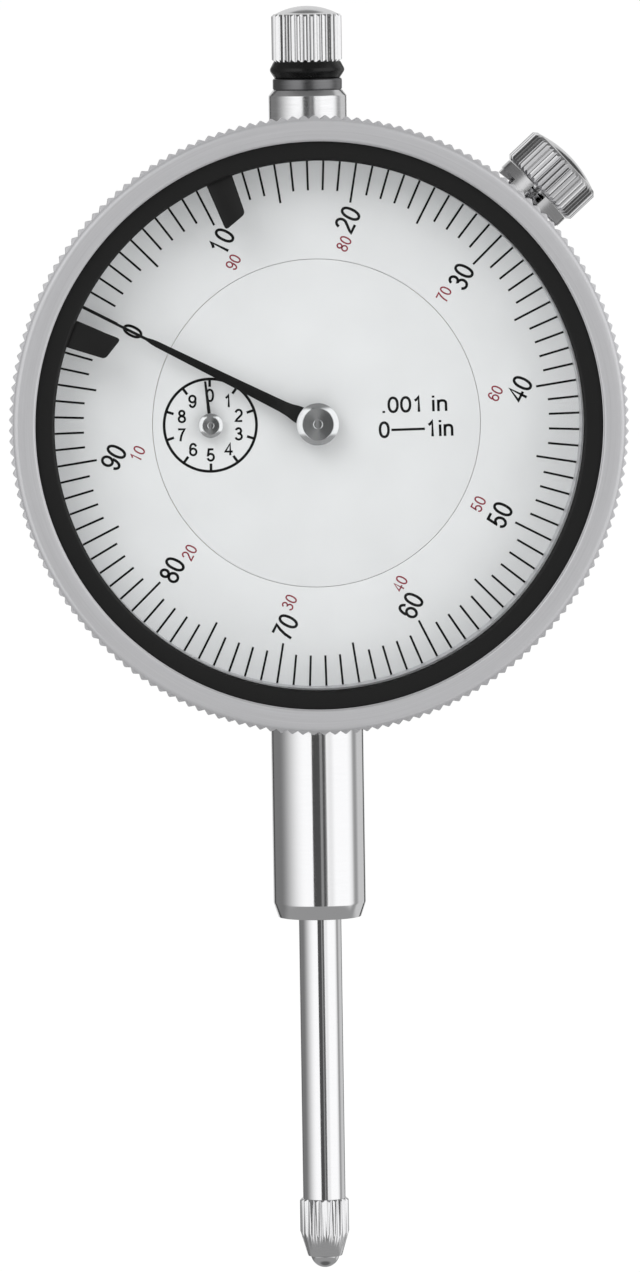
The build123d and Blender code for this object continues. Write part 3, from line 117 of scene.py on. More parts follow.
class IndicatorSizes(bpy.types.PropertyGroup):
    """Sizes that only the visible pieces have"""

    bezel_teeth: IntProperty(
        name="Bezel teeth", description="Teeth of the knurl on the bezel", default=180, min=12)
    bezel_tooth_depth: FloatProperty(
        name="Bezel tooth depth", description="Depth of the bezel's knurl", default=0.36 * MM,
        subtype="DISTANCE", unit="LENGTH", precision=5)
    knob_flutes: IntProperty(
        name="Knob flutes", description="Flutes round the lifting knob", default=30, min=8)
    clamp_flutes: IntProperty(
        name="Clamp flutes", description="Flutes round the clamp screw", default=50, min=8)
    contact_flutes: IntProperty(
        name="Contact flutes", description="Flutes round the contact", default=22, min=8)
    divisions: IntProperty(name="Divisions", description="Divisions of the main dial", default=100, min=10)
    tick_width: FloatProperty(
        name="Tick width", description="Width of the dial's division lines", default=0.22 * MM,
        subtype="DISTANCE", unit="LENGTH", precision=5)
    figure_height: FloatProperty(
        name="Figure height", description="Height of the black figures", default=2.085 * MM,
        subtype="DISTANCE", unit="LENGTH", precision=5)
    small_figure_height: FloatProperty(
        name="Small figure height", description="Height of the red figures", default=1.235 * MM,
        subtype="DISTANCE", unit="LENGTH", precision=5)
    segments: IntProperty(name="Segments", description="Facets round a turned piece", default=192, min=24)


class IndicatorColours(bpy.types.PropertyGroup):
    """Colours of the finishes"""

    steel: FloatVectorProperty(
        name="Polished steel", description="Ground and polished steel", subtype="COLOR", size=3,
        default=(0.86, 0.86, 0.87), min=0, max=1)
    chrome: FloatVectorProperty(
        name="Satin chrome", description="Brushed satin chrome", subtype="COLOR", size=3,
        default=(0.60, 0.60, 0.615), min=0, max=1)
    # The dark grey of this steel is painted shade: it darkens the collar under the knob, the hub faces and
    # the clamp dome.
    grey_steel: FloatVectorProperty(
        name="Shaded steel", description="Steel darkened with painted shade", subtype="COLOR", size=3,
        default=(0.20, 0.20, 0.205), min=0, max=1)
    brass: FloatVectorProperty(
        name="Brass", description="Machined brass", subtype="COLOR", size=3,
        default=(0.72, 0.53, 0.24), min=0, max=1)
    bronze: FloatVectorProperty(
        name="Bronze", description="Bearing bronze", subtype="COLOR", size=3,
        default=(0.58, 0.36, 0.18), min=0, max=1)
    dial: FloatVectorProperty(
        name="Dial", description="Enamel of the dial", subtype="COLOR", size=3,
        default=(0.80, 0.80, 0.805), min=0, max=1)
    black: FloatVectorProperty(
        name="Black", description="Figures, hands, ring and markers", subtype="COLOR", size=3,
        default=(0.008, 0.008, 0.008), min=0, max=1)
    red: FloatVectorProperty(
        name="Red", description="Red figures", subtype="COLOR", size=3,
        default=(0.27, 0.03, 0.05), min=0, max=1)
    rubber: FloatVectorProperty(
        name="Rubber", description="O-ring and gasket", subtype="COLOR", size=3,
        default=(0.006, 0.006, 0.006), min=0, max=1)


def sizes():
    return bpy.context.scene.indicator_sizes


def colours():
    return bpy.context.scene.indicator_colours


# Node trees

class Tree:
    """Adds and joins nodes in one tree, which it empties first."""

    def __init__(self, tree):
        tree.nodes.clear()
        self.tree = tree
        self.column = 0

    def node(self, kind, inputs=None, **settings):
        made = self.tree.nodes.new(kind)
        made.location = (self.column, 0)
        self.column += 180
        for name, value in settings.items():
            setattr(made, name, value)
        for name, value in (inputs or {}).items():
            if isinstance(value, bpy.types.NodeSocket):
                self.tree.links.new(value, made.inputs[name])
            else:
                made.inputs[name].default_value = value
        return made

    def link(self, output, target):
        self.tree.links.new(output, target)

    def math(self, operation, first, second=0.0, third=0.0):
        made = self.node("ShaderNodeMath", {0: first, 1: second, 2: third}, operation=operation)
        return made.outputs[0]

    def fade(self, value, start, end):
        """0 up to start and 1 from end on, eased between; falls instead of rising where end is the lower."""
        made = self.node("ShaderNodeMapRange", {
            "Value": value, "From Min": min(start, end), "From Max": max(start, end),
            "To Min": float(end < start), "To Max": float(end > start)}, interpolation_type="SMOOTHSTEP")
        return made.outputs["Result"]

    def blend(self, first, second, share):
        """A number that goes from first to second as share goes from 0 to 1."""
        return self.math("MULTIPLY_ADD", self.math("SUBTRACT", second, first), share, first)


class Finish(Tree):
    """A material with one Principled BSDF, whose patterns follow a piece's own axis."""

    def __init__(self, name, colour, roughness, metallic=0.0, axis=STEM_AXIS):
        self.material = bpy.data.materials.new(name)
        self.material.use_nodes = True
        self.material.diffuse_color = (*colour, 1)
        super().__init__(self.material.node_tree)
        output = self.node("ShaderNodeOutputMaterial")
        self.shader = self.node("ShaderNodeBsdfPrincipled", {
            "Base Color": (*colour, 1), "Roughness": roughness, "Metallic": metallic})
        self.link(self.shader.outputs["BSDF"], output.inputs["Surface"])
        inverse = axis.inverted()
        coordinate = self.node("ShaderNodeTexCoord").outputs["Object"]
        self.place = self.node("ShaderNodeMapping", {
            "Vector": coordinate, "Location": inverse.to_translation(), "Rotation": inverse.to_euler()},
        ).outputs["Vector"]

    def noise(self, scale, detail=2.0, vector=None, roughness=0.5):
        made = self.node("ShaderNodeTexNoise", {
            "Vector": vector or self.place, "Scale": scale, "Detail": detail, "Roughness": roughness})
        return made.outputs["Fac"]

    def spread(self, value, low, high):
        """Turns a noise value into a range."""
        made = self.node("ShaderNodeMapRange", {
            "Value": value, "From Min": 0.25, "From Max": 0.75, "To Min": low, "To Max": high})
        return made.outputs["Result"]

    def tint(self, value, dark, light):
        made = self.node("ShaderNodeMix", {"Factor": value}, data_type="RGBA")
        made.inputs["A"].default_value = (*dark, 1)
        made.inputs["B"].default_value = (*light, 1)
        self.link(made.outputs["Result"], self.shader.inputs["Base Color"])

    def bump(self, height, distance, strength=1.0):
        made = self.node("ShaderNodeBump", {"Height": height, "Distance": distance, "Strength": strength})
        self.link(made.outputs["Normal"], self.shader.inputs["Normal"])

    def turned_lines(self, per_mm, swirl):
        """A vector that changes fast across the turning marks and slowly along them."""
        split = self.node("ShaderNodeSeparateXYZ", {"Vector": self.place})
        x, y, z = split.outputs
        flat = self.node("ShaderNodeCombineXYZ", {"X": x, "Y": y}).outputs[0]
        reach = self.node("ShaderNodeVectorMath", {0: flat}, operation="LENGTH").outputs["Value"]
        way = self.node("ShaderNodeVectorMath", {0: flat}, operation="NORMALIZE").outputs["Vector"]
        across = self.math("MULTIPLY", self.math("ADD", reach, self.math("MULTIPLY", z, 0.83)), per_mm / MM)
        turn = self.node("ShaderNodeSeparateXYZ", {"Vector": way})
        return self.node("ShaderNodeCombineXYZ", {
            "X": across, "Y": self.math("MULTIPLY", turn.outputs[0], swirl),
            "Z": self.math("MULTIPLY", turn.outputs[1], swirl)}).outputs[0]


def mixed(colour, factor):
    return tuple(min(1.0, c * factor) for c in colour)


def turned_metal(
        name, colour, roughness, axis, lines=9.0, swirl=2.0, depth=0.006, spread=0.06, contrast=0.06):
    """Metal with turning marks round an axis, lines to a millimetre and depth millimetres deep."""
    finish = Finish(name, colour, roughness, 1.0, axis)
    marks = finish.noise(1.0, 4.0, finish.turned_lines(lines, swirl), 0.65)
    stains = finish.noise(220.0, 3.0)
    finish.tint(finish.spread(marks, 0.0, 1.0), mixed(colour, 1 - contrast), mixed(colour, 1 + contrast))
    gloss = finish.math("ADD", finish.spread(marks, roughness - spread, roughness + spread),
                        finish.spread(stains, -0.02, 0.02))
    finish.link(gloss, finish.shader.inputs["Roughness"])
    finish.bump(marks, depth * MM)
    return finish.material


def satin_plating(name, colour, roughness, axis):
    """Matt chrome plate over turning marks: part mirror, part soft white sheen."""
    finish = Finish(name, colour, roughness, 0.5, axis)
    marks = finish.noise(1.0, 4.0, finish.turned_lines(7.0, 1.5), 0.65)
    grain = finish.noise(8000.0, 2.0)
    finish.tint(finish.spread(marks, 0.0, 1.0), mixed(colour, 0.92), mixed(colour, 1.06))
    finish.link(finish.spread(grain, roughness - 0.06, roughness + 0.06), finish.shader.inputs["Roughness"])
    finish.bump(marks, 0.01 * MM)
    return finish.material


def cast_metal(name, colour, roughness):
    """Tumbled or stamped metal with an even fine grain."""
    finish = Finish(name, colour, roughness, 1.0)
    grain = finish.noise(9000.0, 3.0)
    stains = finish.noise(260.0, 3.0)
    finish.tint(finish.spread(stains, 0.0, 1.0), mixed(colour, 0.93), mixed(colour, 1.05))
    finish.link(finish.spread(grain, roughness - 0.06, roughness + 0.06), finish.shader.inputs["Roughness"])
    finish.bump(grain, 0.004 * MM)
    return finish.material


def matt_finish(name, colour, roughness, grain_scale, grain_depth, axis=STEM_AXIS, gloss=0.5):
    """Paint, print, plastic or rubber with a fine grain."""
    finish = Finish(name, colour, roughness, 0.0, axis)
    finish.shader.inputs["Specular IOR Level"].default_value = gloss
    grain = finish.noise(grain_scale, 3.0)
    clouds = finish.noise(170.0, 2.0)
    finish.tint(finish.spread(clouds, 0.0, 1.0), mixed(colour, 0.965), mixed(colour, 1.02))
    finish.link(finish.spread(grain, roughness - 0.05, roughness + 0.05), finish.shader.inputs["Roughness"])
    finish.bump(grain, grain_depth * MM)
    return finish.material


def clear_crystal():
    """Clear crystal: see-through, with a mirror gloss that grows towards grazing angles."""
    material = bpy.data.materials.new("Clear crystal")
    material.use_nodes = True
    material.diffuse_color = (0.9, 0.95, 1.0, 0.15)
    tree = Tree(material.node_tree)
    output = tree.node("ShaderNodeOutputMaterial")
    place = tree.node("ShaderNodeTexCoord").outputs["Object"]
    haze = tree.node("ShaderNodeTexNoise", {"Vector": place, "Scale": 120.0, "Detail": 2.0}).outputs["Fac"]
    wear = tree.node("ShaderNodeMapRange", {"Value": haze, "To Min": 0.01, "To Max": 0.03}).outputs[0]
    clear = tree.node("ShaderNodeBsdfTransparent", {"Color": (0.985, 0.99, 0.99, 1)})
    gloss = tree.node("ShaderNodeBsdfGlossy", {"Color": (1, 1, 1, 1), "Roughness": wear})
    edge = tree.node("ShaderNodeFresnel", {"IOR": 1.38}).outputs[0]
    outside = tree.math("SUBTRACT", 1.0, tree.node("ShaderNodeNewGeometry").outputs["Backfacing"])
    mix = tree.node("ShaderNodeMixShader", {
        0: tree.math("MULTIPLY", edge, outside), 1: clear.outputs[0], 2: gloss.outputs[0]})
    tree.link(mix.outputs[0], output.inputs["Surface"])
    return material


def dial_metals(paint):
    """Metals turned round the dial's axis."""
    fine = {"lines": 12.0, "swirl": 1.5, "depth": 0.002, "spread": 0.03, "contrast": 0.03}
    coarse = {"lines": 16.0, "swirl": 1.0, "depth": 0.009}
    return {
        "bezel satin": lambda: satin_plating("Bezel satin chrome", paint.chrome, 0.42, DIAL_AXIS),
        "wall mirror": lambda: turned_metal(
            "Mirror wall", paint.steel, 0.05, DIAL_AXIS, lines=12.0, swirl=1.5, depth=0.001, spread=0.015,
            contrast=0.02),
        "edge bright": lambda: turned_metal("Bright turned edge", paint.steel, 0.11, DIAL_AXIS, **fine),
        "bezel knurl": lambda: turned_metal(
            "Bezel knurl steel", mixed(paint.steel, 0.72), 0.14, DIAL_AXIS, **fine),
        "case satin": lambda: turned_metal(
            "Case satin chrome", paint.chrome, 0.33, DIAL_AXIS, lines=6.0, swirl=2.5),
        "hub polish": lambda: turned_metal("Hub polished steel", paint.steel, 0.14, DIAL_AXIS, **fine),
        # The pointer hub's face uses the steel darkened with painted shade.
        "hub face": lambda: turned_metal(
            "Hub turned face in painted shade", paint.grey_steel, 0.30, DIAL_AXIS, contrast=0.25, **coarse),
        # The counter hub's face also uses the steel darkened with painted shade.
        "counter face": lambda: turned_metal(
            "Counter hub turned face", paint.grey_steel, 0.30, COUNTER_AXIS, contrast=0.2, **coarse),
        "screw steel": lambda: turned_metal(
            "Screw steel", paint.steel, 0.25, DIAL_AXIS, lines=10.0, depth=0.005),
    }


def stem_metals(paint):
    """Metals turned round the plunger's axis."""
    return {
        "stem polish": lambda: turned_metal(
            "Stem polished steel", paint.steel, 0.085, STEM_AXIS, lines=14.0, swirl=1.5, depth=0.0012,
            spread=0.02, contrast=0.02),
        "stem end steel": lambda: turned_metal(
            "Turned stem end", mixed(paint.steel, 0.75), 0.20, STEM_AXIS, spread=0.04),
        "sleeve steel": lambda: turned_metal(
            "Sleeve ground steel", paint.steel, 0.17, STEM_AXIS, swirl=1.5, spread=0.04),
        # The collar's dark grey is painted shade, put into its steel's colour.
        "grey steel": lambda: turned_metal(
            "Turned grey steel", paint.grey_steel, 0.32, STEM_AXIS, lines=7.0, swirl=1.5, depth=0.008,
            contrast=0.12),
        "knurl steel": lambda: turned_metal(
            "Knurled steel", mixed(paint.steel, 0.95), 0.12, STEM_AXIS, depth=0.003, spread=0.04,
            contrast=0.05),
        "cone steel": lambda: turned_metal(
            "Cone steel", mixed(paint.steel, 0.8), 0.25, STEM_AXIS, depth=0.005),
        # The knob's dome is steel at half its colour: painted shade on the top of the knob.
        "shaded dome steel": lambda: turned_metal(
            "Dome steel", mixed(paint.steel, 0.5), 0.30, STEM_AXIS, lines=7.0, swirl=1.5, depth=0.008),
        "ball chrome": lambda: turned_metal(
            "Ball chrome", paint.steel, 0.05, STEM_AXIS, lines=10.0, swirl=1.0, depth=0.001, spread=0.01),
        "bush bronze": lambda: turned_metal(
            "Bush bronze", paint.bronze, 0.30, STEM_AXIS, lines=8.0, swirl=1.5),
    }


def clamp_metals(paint):
    """Metals turned round the clamp screw's axis."""
    return {
        "washer steel": lambda: turned_metal(
            "Washer satin steel", mixed(paint.steel, 0.72), 0.20, CLAMP_AXIS, lines=8.0, swirl=1.5,
            depth=0.001),
        "clamp knurl": lambda: turned_metal(
            "Clamp knurl steel", mixed(paint.steel, 0.80), 0.11, CLAMP_AXIS, depth=0.0006, spread=0.03,
            contrast=0.05),
        # The clamp dome uses the steel darkened with painted shade.
        "clamp dome": lambda: turned_metal(
            "Clamp shaded dome steel", paint.grey_steel, 0.32, CLAMP_AXIS, depth=0.005),
    }


def movement_metals(paint):
    """Metals with no turning axis of their own."""
    return {
        "plate brass": lambda: cast_metal("Plate brass", paint.brass, 0.32),
        "spring steel": lambda: cast_metal("Spring steel", mixed(paint.steel, 0.7), 0.28),
    }


def other_finishes(paint):
    """Enamel, print, plastic, rubber and the crystal."""
    return {
        "dial enamel": lambda: matt_finish("Dial enamel", paint.dial, 0.42, 5000.0, 0.0015, DIAL_AXIS),
        "black print": lambda: matt_finish("Black print", paint.black, 0.45, 9000.0, 0.001, gloss=0.1),
        "red print": lambda: matt_finish("Red print", paint.red, 0.45, 9000.0, 0.001, gloss=0.2),
        "black enamel": lambda: matt_finish("Black hand enamel", paint.black, 0.38, 8000.0, 0.002, gloss=0.2),
        "black plastic": lambda: matt_finish("Black plastic", paint.black, 0.45, 6000.0, 0.004, gloss=0.3),
        "rubber": lambda: matt_finish("Black rubber", paint.rubber, 0.24, 4000.0, 0.002, gloss=0.3),
        "crystal": clear_crystal,
    }


def make_finish(name):
    paint = colours()
    for group in (dial_metals, stem_metals, clamp_metals, movement_metals, other_finishes):
        makers = group(paint)
        if name in makers:
            return makers[name]()
    raise KeyError(name)


FINISHES = {}


def finish_of(name):
    if name not in FINISHES:
        FINISHES[name] = make_finish(name)
    return FINISHES[name]


# Meshes

def smooth(mesh, sharp_angle=30.0):
    mesh.shade_smooth()
    mesh.set_sharp_from_angle(angle=radians(sharp_angle))


def choose_finishes(mesh, choose, axis=STEM_AXIS):
    """Gives each face the finish that choose names by number for its middle, seen along the axis."""
    level = axis.inverted()
    for polygon in mesh.polygons:
        polygon.material_index = int(choose(level @ polygon.center))


def add_piece(name, mesh, finishes, body, nodes=()):
    """Links a finished mesh as a piece that moves with a body and stands for its CAD nodes."""
    mesh.name = name
    piece = bpy.data.objects.new(name, mesh)
    bpy.context.scene.collection.objects.link(piece)
    mesh.materials.clear()
    for finish in [finishes] if isinstance(finishes, str) else finishes:
        mesh.materials.append(finish_of(finish))
    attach(piece, body)
    if nodes:
        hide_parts(*nodes)
    return piece


def close(mesh, weld):
    """Merges a closed mesh's doubles and points its faces outwards."""
    tidy = bmesh.new()
    tidy.from_mesh(mesh)
    bmesh.ops.remove_doubles(tidy, verts=tidy.verts, dist=weld)
    bmesh.ops.dissolve_degenerate(tidy, edges=tidy.edges, dist=SLIVER)
    bmesh.ops.recalc_face_normals(tidy, faces=tidy.faces)
    tidy.to_mesh(mesh)
    tidy.free()


def mesh_from(vertices, faces):
    """A closed mesh from its vertices and faces."""
    mesh = bpy.data.meshes.new("piece")
    mesh.from_pydata(vertices, [], faces)
    close(mesh, SLIVER)
    return mesh


def joined(meshes):
    """One mesh from several, which are removed."""
    whole = bmesh.new()
    for mesh in meshes:
        whole.from_mesh(mesh)
        bpy.data.meshes.remove(mesh)
    mesh = bpy.data.meshes.new("joined")
    whole.to_mesh(mesh)
    whole.free()
    return mesh


def rounded(points, radius, steps=3):
    """A profile whose corners are rounded. A point may carry its own radius as a third number."""
    out = []
    count = len(points)
    for i, point in enumerate(points):
        here = Vector(point[:2])
        own = point[2] if len(point) > 2 else radius
        before = Vector(points[i - 1][:2])
        after = Vector(points[(i + 1) % count][:2])
        if own <= 0 or here.x <= 0:
            out.append((here.x, here.y))
            continue
        back = before - here
        ahead = after - here
        cut = min(own, back.length * 0.45, ahead.length * 0.45)
        start = here + back.normalized() * cut
        end = here + ahead.normalized() * cut
        for k in range(steps + 1):
            t = k / steps
            spot = start * (1 - t) ** 2 + here * 2 * t * (1 - t) + end * t ** 2
            out.append((spot.x, spot.y))
    return out


def lathe(points, axis, segments=None, sharp_angle=30.0):
    """A turned piece from a closed profile of (radius, height) points."""
    segments = segments or sizes().segments
    vertices = []
    faces = []
    count = len(points)
    for i in range(segments):
        turn = 2 * pi * i / segments
        for reach, height in points:
            vertices.append(axis @ Vector((reach * cos(turn), reach * sin(turn), height)))
    for i in range(segments):
        after = (i + 1) % segments
        for k in range(count):
            up = (k + 1) % count
            faces.append((i * count + k, after * count + k, after * count + up, i * count + up))
    mesh = mesh_from(vertices, faces)
    smooth(mesh, sharp_angle)
    return mesh


def ring_of_copies():
    """Geometry Nodes that repeat a piece round its own Z axis and weld the copies."""
    group = bpy.data.node_groups.get("Ring of copies")
    if group:
        return group
    group = bpy.data.node_groups.new("Ring of copies", "GeometryNodeTree")
    for name, kind in (
            ("Piece", "Geometry"), ("Count", "Int"), ("Weld Distance", "Float"), ("Finish", "Material")):
        group.interface.new_socket(name, in_out="INPUT", socket_type=f"NodeSocket{kind}")
    group.interface.new_socket("Ring", in_out="OUTPUT", socket_type="NodeSocketGeometry")
    tree = Tree(group)
    given = tree.node("NodeGroupInput").outputs
    points = tree.node("GeometryNodePoints", {"Count": given["Count"]})
    index = tree.node("GeometryNodeInputIndex").outputs[0]
    share = tree.math("DIVIDE", index, given["Count"])
    turn = tree.node("ShaderNodeCombineXYZ", {"Z": tree.math("MULTIPLY", share, 2 * pi)})
    copies = tree.node("GeometryNodeInstanceOnPoints", {
        "Points": points.outputs[0], "Instance": given["Piece"], "Rotation": turn.outputs[0]})
    real = tree.node("GeometryNodeRealizeInstances", {"Geometry": copies.outputs[0]})
    weld = tree.node("GeometryNodeMergeByDistance", {
        "Geometry": real.outputs[0], "Distance": given["Weld Distance"]})
    finish = tree.node("GeometryNodeSetMaterial", {"Geometry": weld.outputs[0], "Material": given["Finish"]})
    tree.link(finish.outputs[0], tree.node("NodeGroupOutput").inputs[0])
    return group


def evaluated(carrier):
    """A plain mesh of an object with its modifiers, which is then removed."""
    bpy.context.scene.collection.objects.link(carrier)
    bpy.context.view_layer.update()
    mesh = bpy.data.meshes.new_from_object(carrier.evaluated_get(bpy.context.evaluated_depsgraph_get()))
    carrier.modifiers.clear()
    bpy.data.objects.remove(carrier)
    return mesh


def repeated(mesh, count, axis, finish):
    """The mesh repeated round its Z axis, then placed."""
    carrier = bpy.data.objects.new("carrier", mesh)
    group = ring_of_copies()
    ring = carrier.modifiers.new("Ring", "NODES")
    ring.node_group = group
    values = {"Count": count, "Weld Distance": WELD, "Finish": finish_of(finish)}
    for socket in group.interface.items_tree:
        if socket.item_type == "SOCKET" and socket.in_out == "INPUT" and socket.name in values:
            ring[socket.identifier] = values[socket.name]
    whole = evaluated(carrier)
    whole.transform(axis)
    smooth(whole)
    return whole


def knurl_tooth(profile, wall, count, depth, crest):
    """One tooth of a straight knurl. wall is the first of the profile's two points on the full radius.
    The tooth is a V with a flat crest, or a round rib where crest is None."""
    full = profile[wall][0]
    half = pi / count
    rows = len(profile)
    if crest is None:
        columns = [(k / 4, (1 - cos(pi * k / 4)) / 2) for k in range(-4, 5)]
    else:
        columns = [(-1.0, 1.0), (-crest, 0.0), (crest, 0.0), (1.0, 1.0)]
    vertices = []
    faces = []
    for column, drop in columns:
        limit = full - depth * drop
        points = list(profile)
        for spot, neighbour in ((wall, wall - 1), (wall + 1, (wall + 2) % rows)):
            reach, height = profile[spot]
            near, low = profile[neighbour]
            share = (limit - near) / (reach - near) if reach > near else 1.0
            share = max(0.0, min(1.0, share))
            points[spot] = (near + (reach - near) * share, low + (height - low) * share)
        for reach, height in points:
            reach = min(reach, limit)
            vertices.append((reach * cos(column * half), reach * sin(column * half), height))
    for i in range(len(columns) - 1):
        for k in range(rows):
            up = (k + 1) % rows
            faces.append((i * rows + k, (i + 1) * rows + k, (i + 1) * rows + up, i * rows + up))
    return vertices, faces


def knurled(profile, wall, count, depth, axis, finish, crest=None):
    """A turned piece with a straight knurl on one wall."""
    vertices, faces = knurl_tooth(profile, wall, count, depth, crest)
    tooth = bpy.data.meshes.new("tooth")
    tooth.from_pydata(vertices, [], faces)
    whole = repeated(tooth, count, axis, finish)
    close(whole, WELD)
    smooth(whole, 28)
    return whole


def wall_start(profile, radius):
    """The first of the profile's points on a radius."""
    return next(i for i, point in enumerate(profile) if abs(point[0] - radius) < 1e-9)


def plate(outline, back, front_height, axis, bevel=0.02 * MM):
    """A flat piece from its outline, with its front edge eased."""
    mesh = bpy.data.meshes.new("plate")
    build = bmesh.new()
    ring = [build.verts.new((x, y, back)) for x, y in outline]
    base = build.faces.new(ring)
    raised = bmesh.ops.extrude_face_region(build, geom=[base])["geom"]
    top = [v for v in raised if isinstance(v, bmesh.types.BMVert)]
    bmesh.ops.translate(build, verts=top, vec=(0, 0, front_height - back))
    bmesh.ops.recalc_face_normals(build, faces=build.faces)
    if bevel:
        edges = [e for e in build.edges if all(abs(v.co.z - front_height) < 1e-9 for v in e.verts)]
        bmesh.ops.bevel(
            build, geom=edges, offset=bevel, segments=2, affect="EDGES", profile=0.5, clamp_overlap=True)
    bmesh.ops.triangulate(build, faces=[f for f in build.faces if len(f.verts) > 4])
    bmesh.ops.transform(build, matrix=axis, verts=build.verts)
    build.to_mesh(mesh)
    build.free()
    smooth(mesh, 35)
    return mesh


def smoothed(node):
    """A copy of a CAD node's mesh, merged and smoothly shaded."""
    mesh = frame["nodes"][node].data.copy()
    tidy = bmesh.new()
    tidy.from_mesh(mesh)
    bmesh.ops.remove_doubles(tidy, verts=tidy.verts, dist=WELD)
    tidy.to_mesh(mesh)
    tidy.free()
    smooth(mesh, 28)
    return mesh


def arc(radius, start, end, steps):
    """Points on an arc round (0, 0), angles in degrees anticlockwise from +x."""
    turns = [radians(start + (end - start) * k / steps) for k in range(steps + 1)]
    return [(radius * cos(turn), radius * sin(turn)) for turn in turns]


# Print on the dial

def curve(cx, cy, rx, ry, start, end, squareness=1.0):
    """Points on an ellipse, angles in degrees anticlockwise from +x."""
    steps = max(4, int(abs(end - start) / 15))
    points = []
    for k in range(steps + 1):
        turn = radians(start + (end - start) * k / steps)
        c, n = cos(turn), sin(turn)
        points.append((cx + rx * abs(c) ** squareness * (1 if c > 0 else -1),
                       cy + ry * abs(n) ** squareness * (1 if n > 0 else -1)))
    return points


SIX = [curve(0.39, 0.315, 0.265, 0.26, 0, 360), curve(0.395, 0.5, 0.27, 0.445, 180, 30, 0.93)]

# Centre lines of the printed characters, in units of their height
STROKES = {
    "0": [curve(0.39, 0.5, 0.27, 0.445, 0, 360, 0.9)],
    "1": [[(0.17, 0.72), (0.30, 0.80), (0.42, 0.96), (0.42, 0.0)]],
    "2": [curve(0.38, 0.69, 0.255, 0.255, 170, -35)
          + [(0.42, 0.38), (0.20, 0.18), (0.12, 0.06), (0.67, 0.06)]],
    "3": [curve(0.36, 0.74, 0.22, 0.205, 165, -90) + curve(0.37, 0.29, 0.265, 0.235, 90, -165)],
    "4": [[(0.50, 0.0), (0.50, 0.92), (0.08, 0.29), (0.71, 0.29)]],
    "5": [[(0.62, 0.94), (0.22, 0.94), (0.15, 0.47)] + curve(0.38, 0.32, 0.265, 0.265, 145, -165)],
    "6": SIX,
    "7": [[(0.11, 0.94), (0.66, 0.94), (0.48, 0.66), (0.36, 0.36), (0.30, 0.0)]],
    "8": [curve(0.39, 0.75, 0.215, 0.195, 0, 360), curve(0.39, 0.285, 0.265, 0.23, 0, 360)],
    "9": [[(0.78 - x, 1 - y) for x, y in stroke] for stroke in SIX],
    ".": [[(0.19, 0.0), (0.19, 0.13)]],
    "i": [[(0.15, 0.0), (0.15, 0.73)], [(0.15, 0.87), (0.15, 1.0)]],
    "n": [[(0.15, 0.0), (0.15, 0.73)], curve(0.385, 0.46, 0.235, 0.215, 180, 0, 0.85) + [(0.62, 0.0)]],
    " ": [],
}
ADVANCES = {".": 0.39, " ": 0.39, "i": 0.31}
DIGIT_ADVANCE = 0.777
STROKE_WEIGHT = 0.135
PRINT_RISE = 0.004 * MM


def stroke_slab(points, width):
    """A printed line of even width along a path, as a thin closed slab."""
    closed = hypot(points[0][0] - points[-1][0], points[0][1] - points[-1][1]) < 1e-6
    path = [Vector(p) for p in (points[:-1] if closed else points)]
    count = len(path)
    vertices = []
    for i, here in enumerate(path):
        before = path[i - 1] if closed or i else here
        after = path[(i + 1) % count] if closed or i < count - 1 else here
        arriving = (here - before).normalized() if here != before else (after - here).normalized()
        leaving = (after - here).normalized() if after != here else arriving
        along = (arriving + leaving).normalized()
        miter = min(1.6, 1 / max(0.3, along.dot(leaving)))
        side = Vector((-along.y, along.x)) * width / 2 * miter
        for spot in (here + side, here - side):
            vertices += [(spot.x, spot.y, -PRINT_RISE), (spot.x, spot.y, PRINT_RISE)]
    faces = []
    for i in range(count if closed else count - 1):
        a, b = 4 * i, 4 * ((i + 1) % count)
        faces += [(a, b, b + 1, a + 1), (a + 1, b + 1, b + 3, a + 3), (a + 3, b + 3, b + 2, a + 2),
                  (a + 2, b + 2, b, a)]
    if not closed:
        last = 4 * (count - 1)
        faces += [(0, 1, 3, 2), (last, last + 2, last + 3, last + 1)]
    return vertices, faces


def word_mesh(text, height, stretch=0.785, left=False, weight=STROKE_WEIGHT):
    """Printed characters as thin slabs, centred on their middle or starting at x = 0."""
    vertices = []
    faces = []
    start = 0.0
    for letter in text:
        for stroke in STROKES[letter]:
            path = [((start + x) * stretch * height, y * height) for x, y in stroke]
            made, joins = stroke_slab(path, weight * height)
            faces += [tuple(len(vertices) + k for k in face) for face in joins]
            vertices += made
        start += ADVANCES.get(letter, DIGIT_ADVANCE)
    mesh = mesh_from(vertices, faces)
    xs = [v.co.x for v in mesh.vertices]
    middle = min(xs) if left else (min(xs) + max(xs)) / 2
    mesh.transform(Matrix.Translation((-middle, -height / 2, 0)))
    return mesh


def at_dial_angle(reach, angle):
    """A place on the dial, with the angle clockwise from the top."""
    return Vector((reach * sin(angle), reach * cos(angle), 0))


def line_mesh(length_start, length_end, width):
    """A printed line along +Y."""
    return mesh_from(*stroke_slab([(0, length_start), (0, length_end)], width))


# Operators

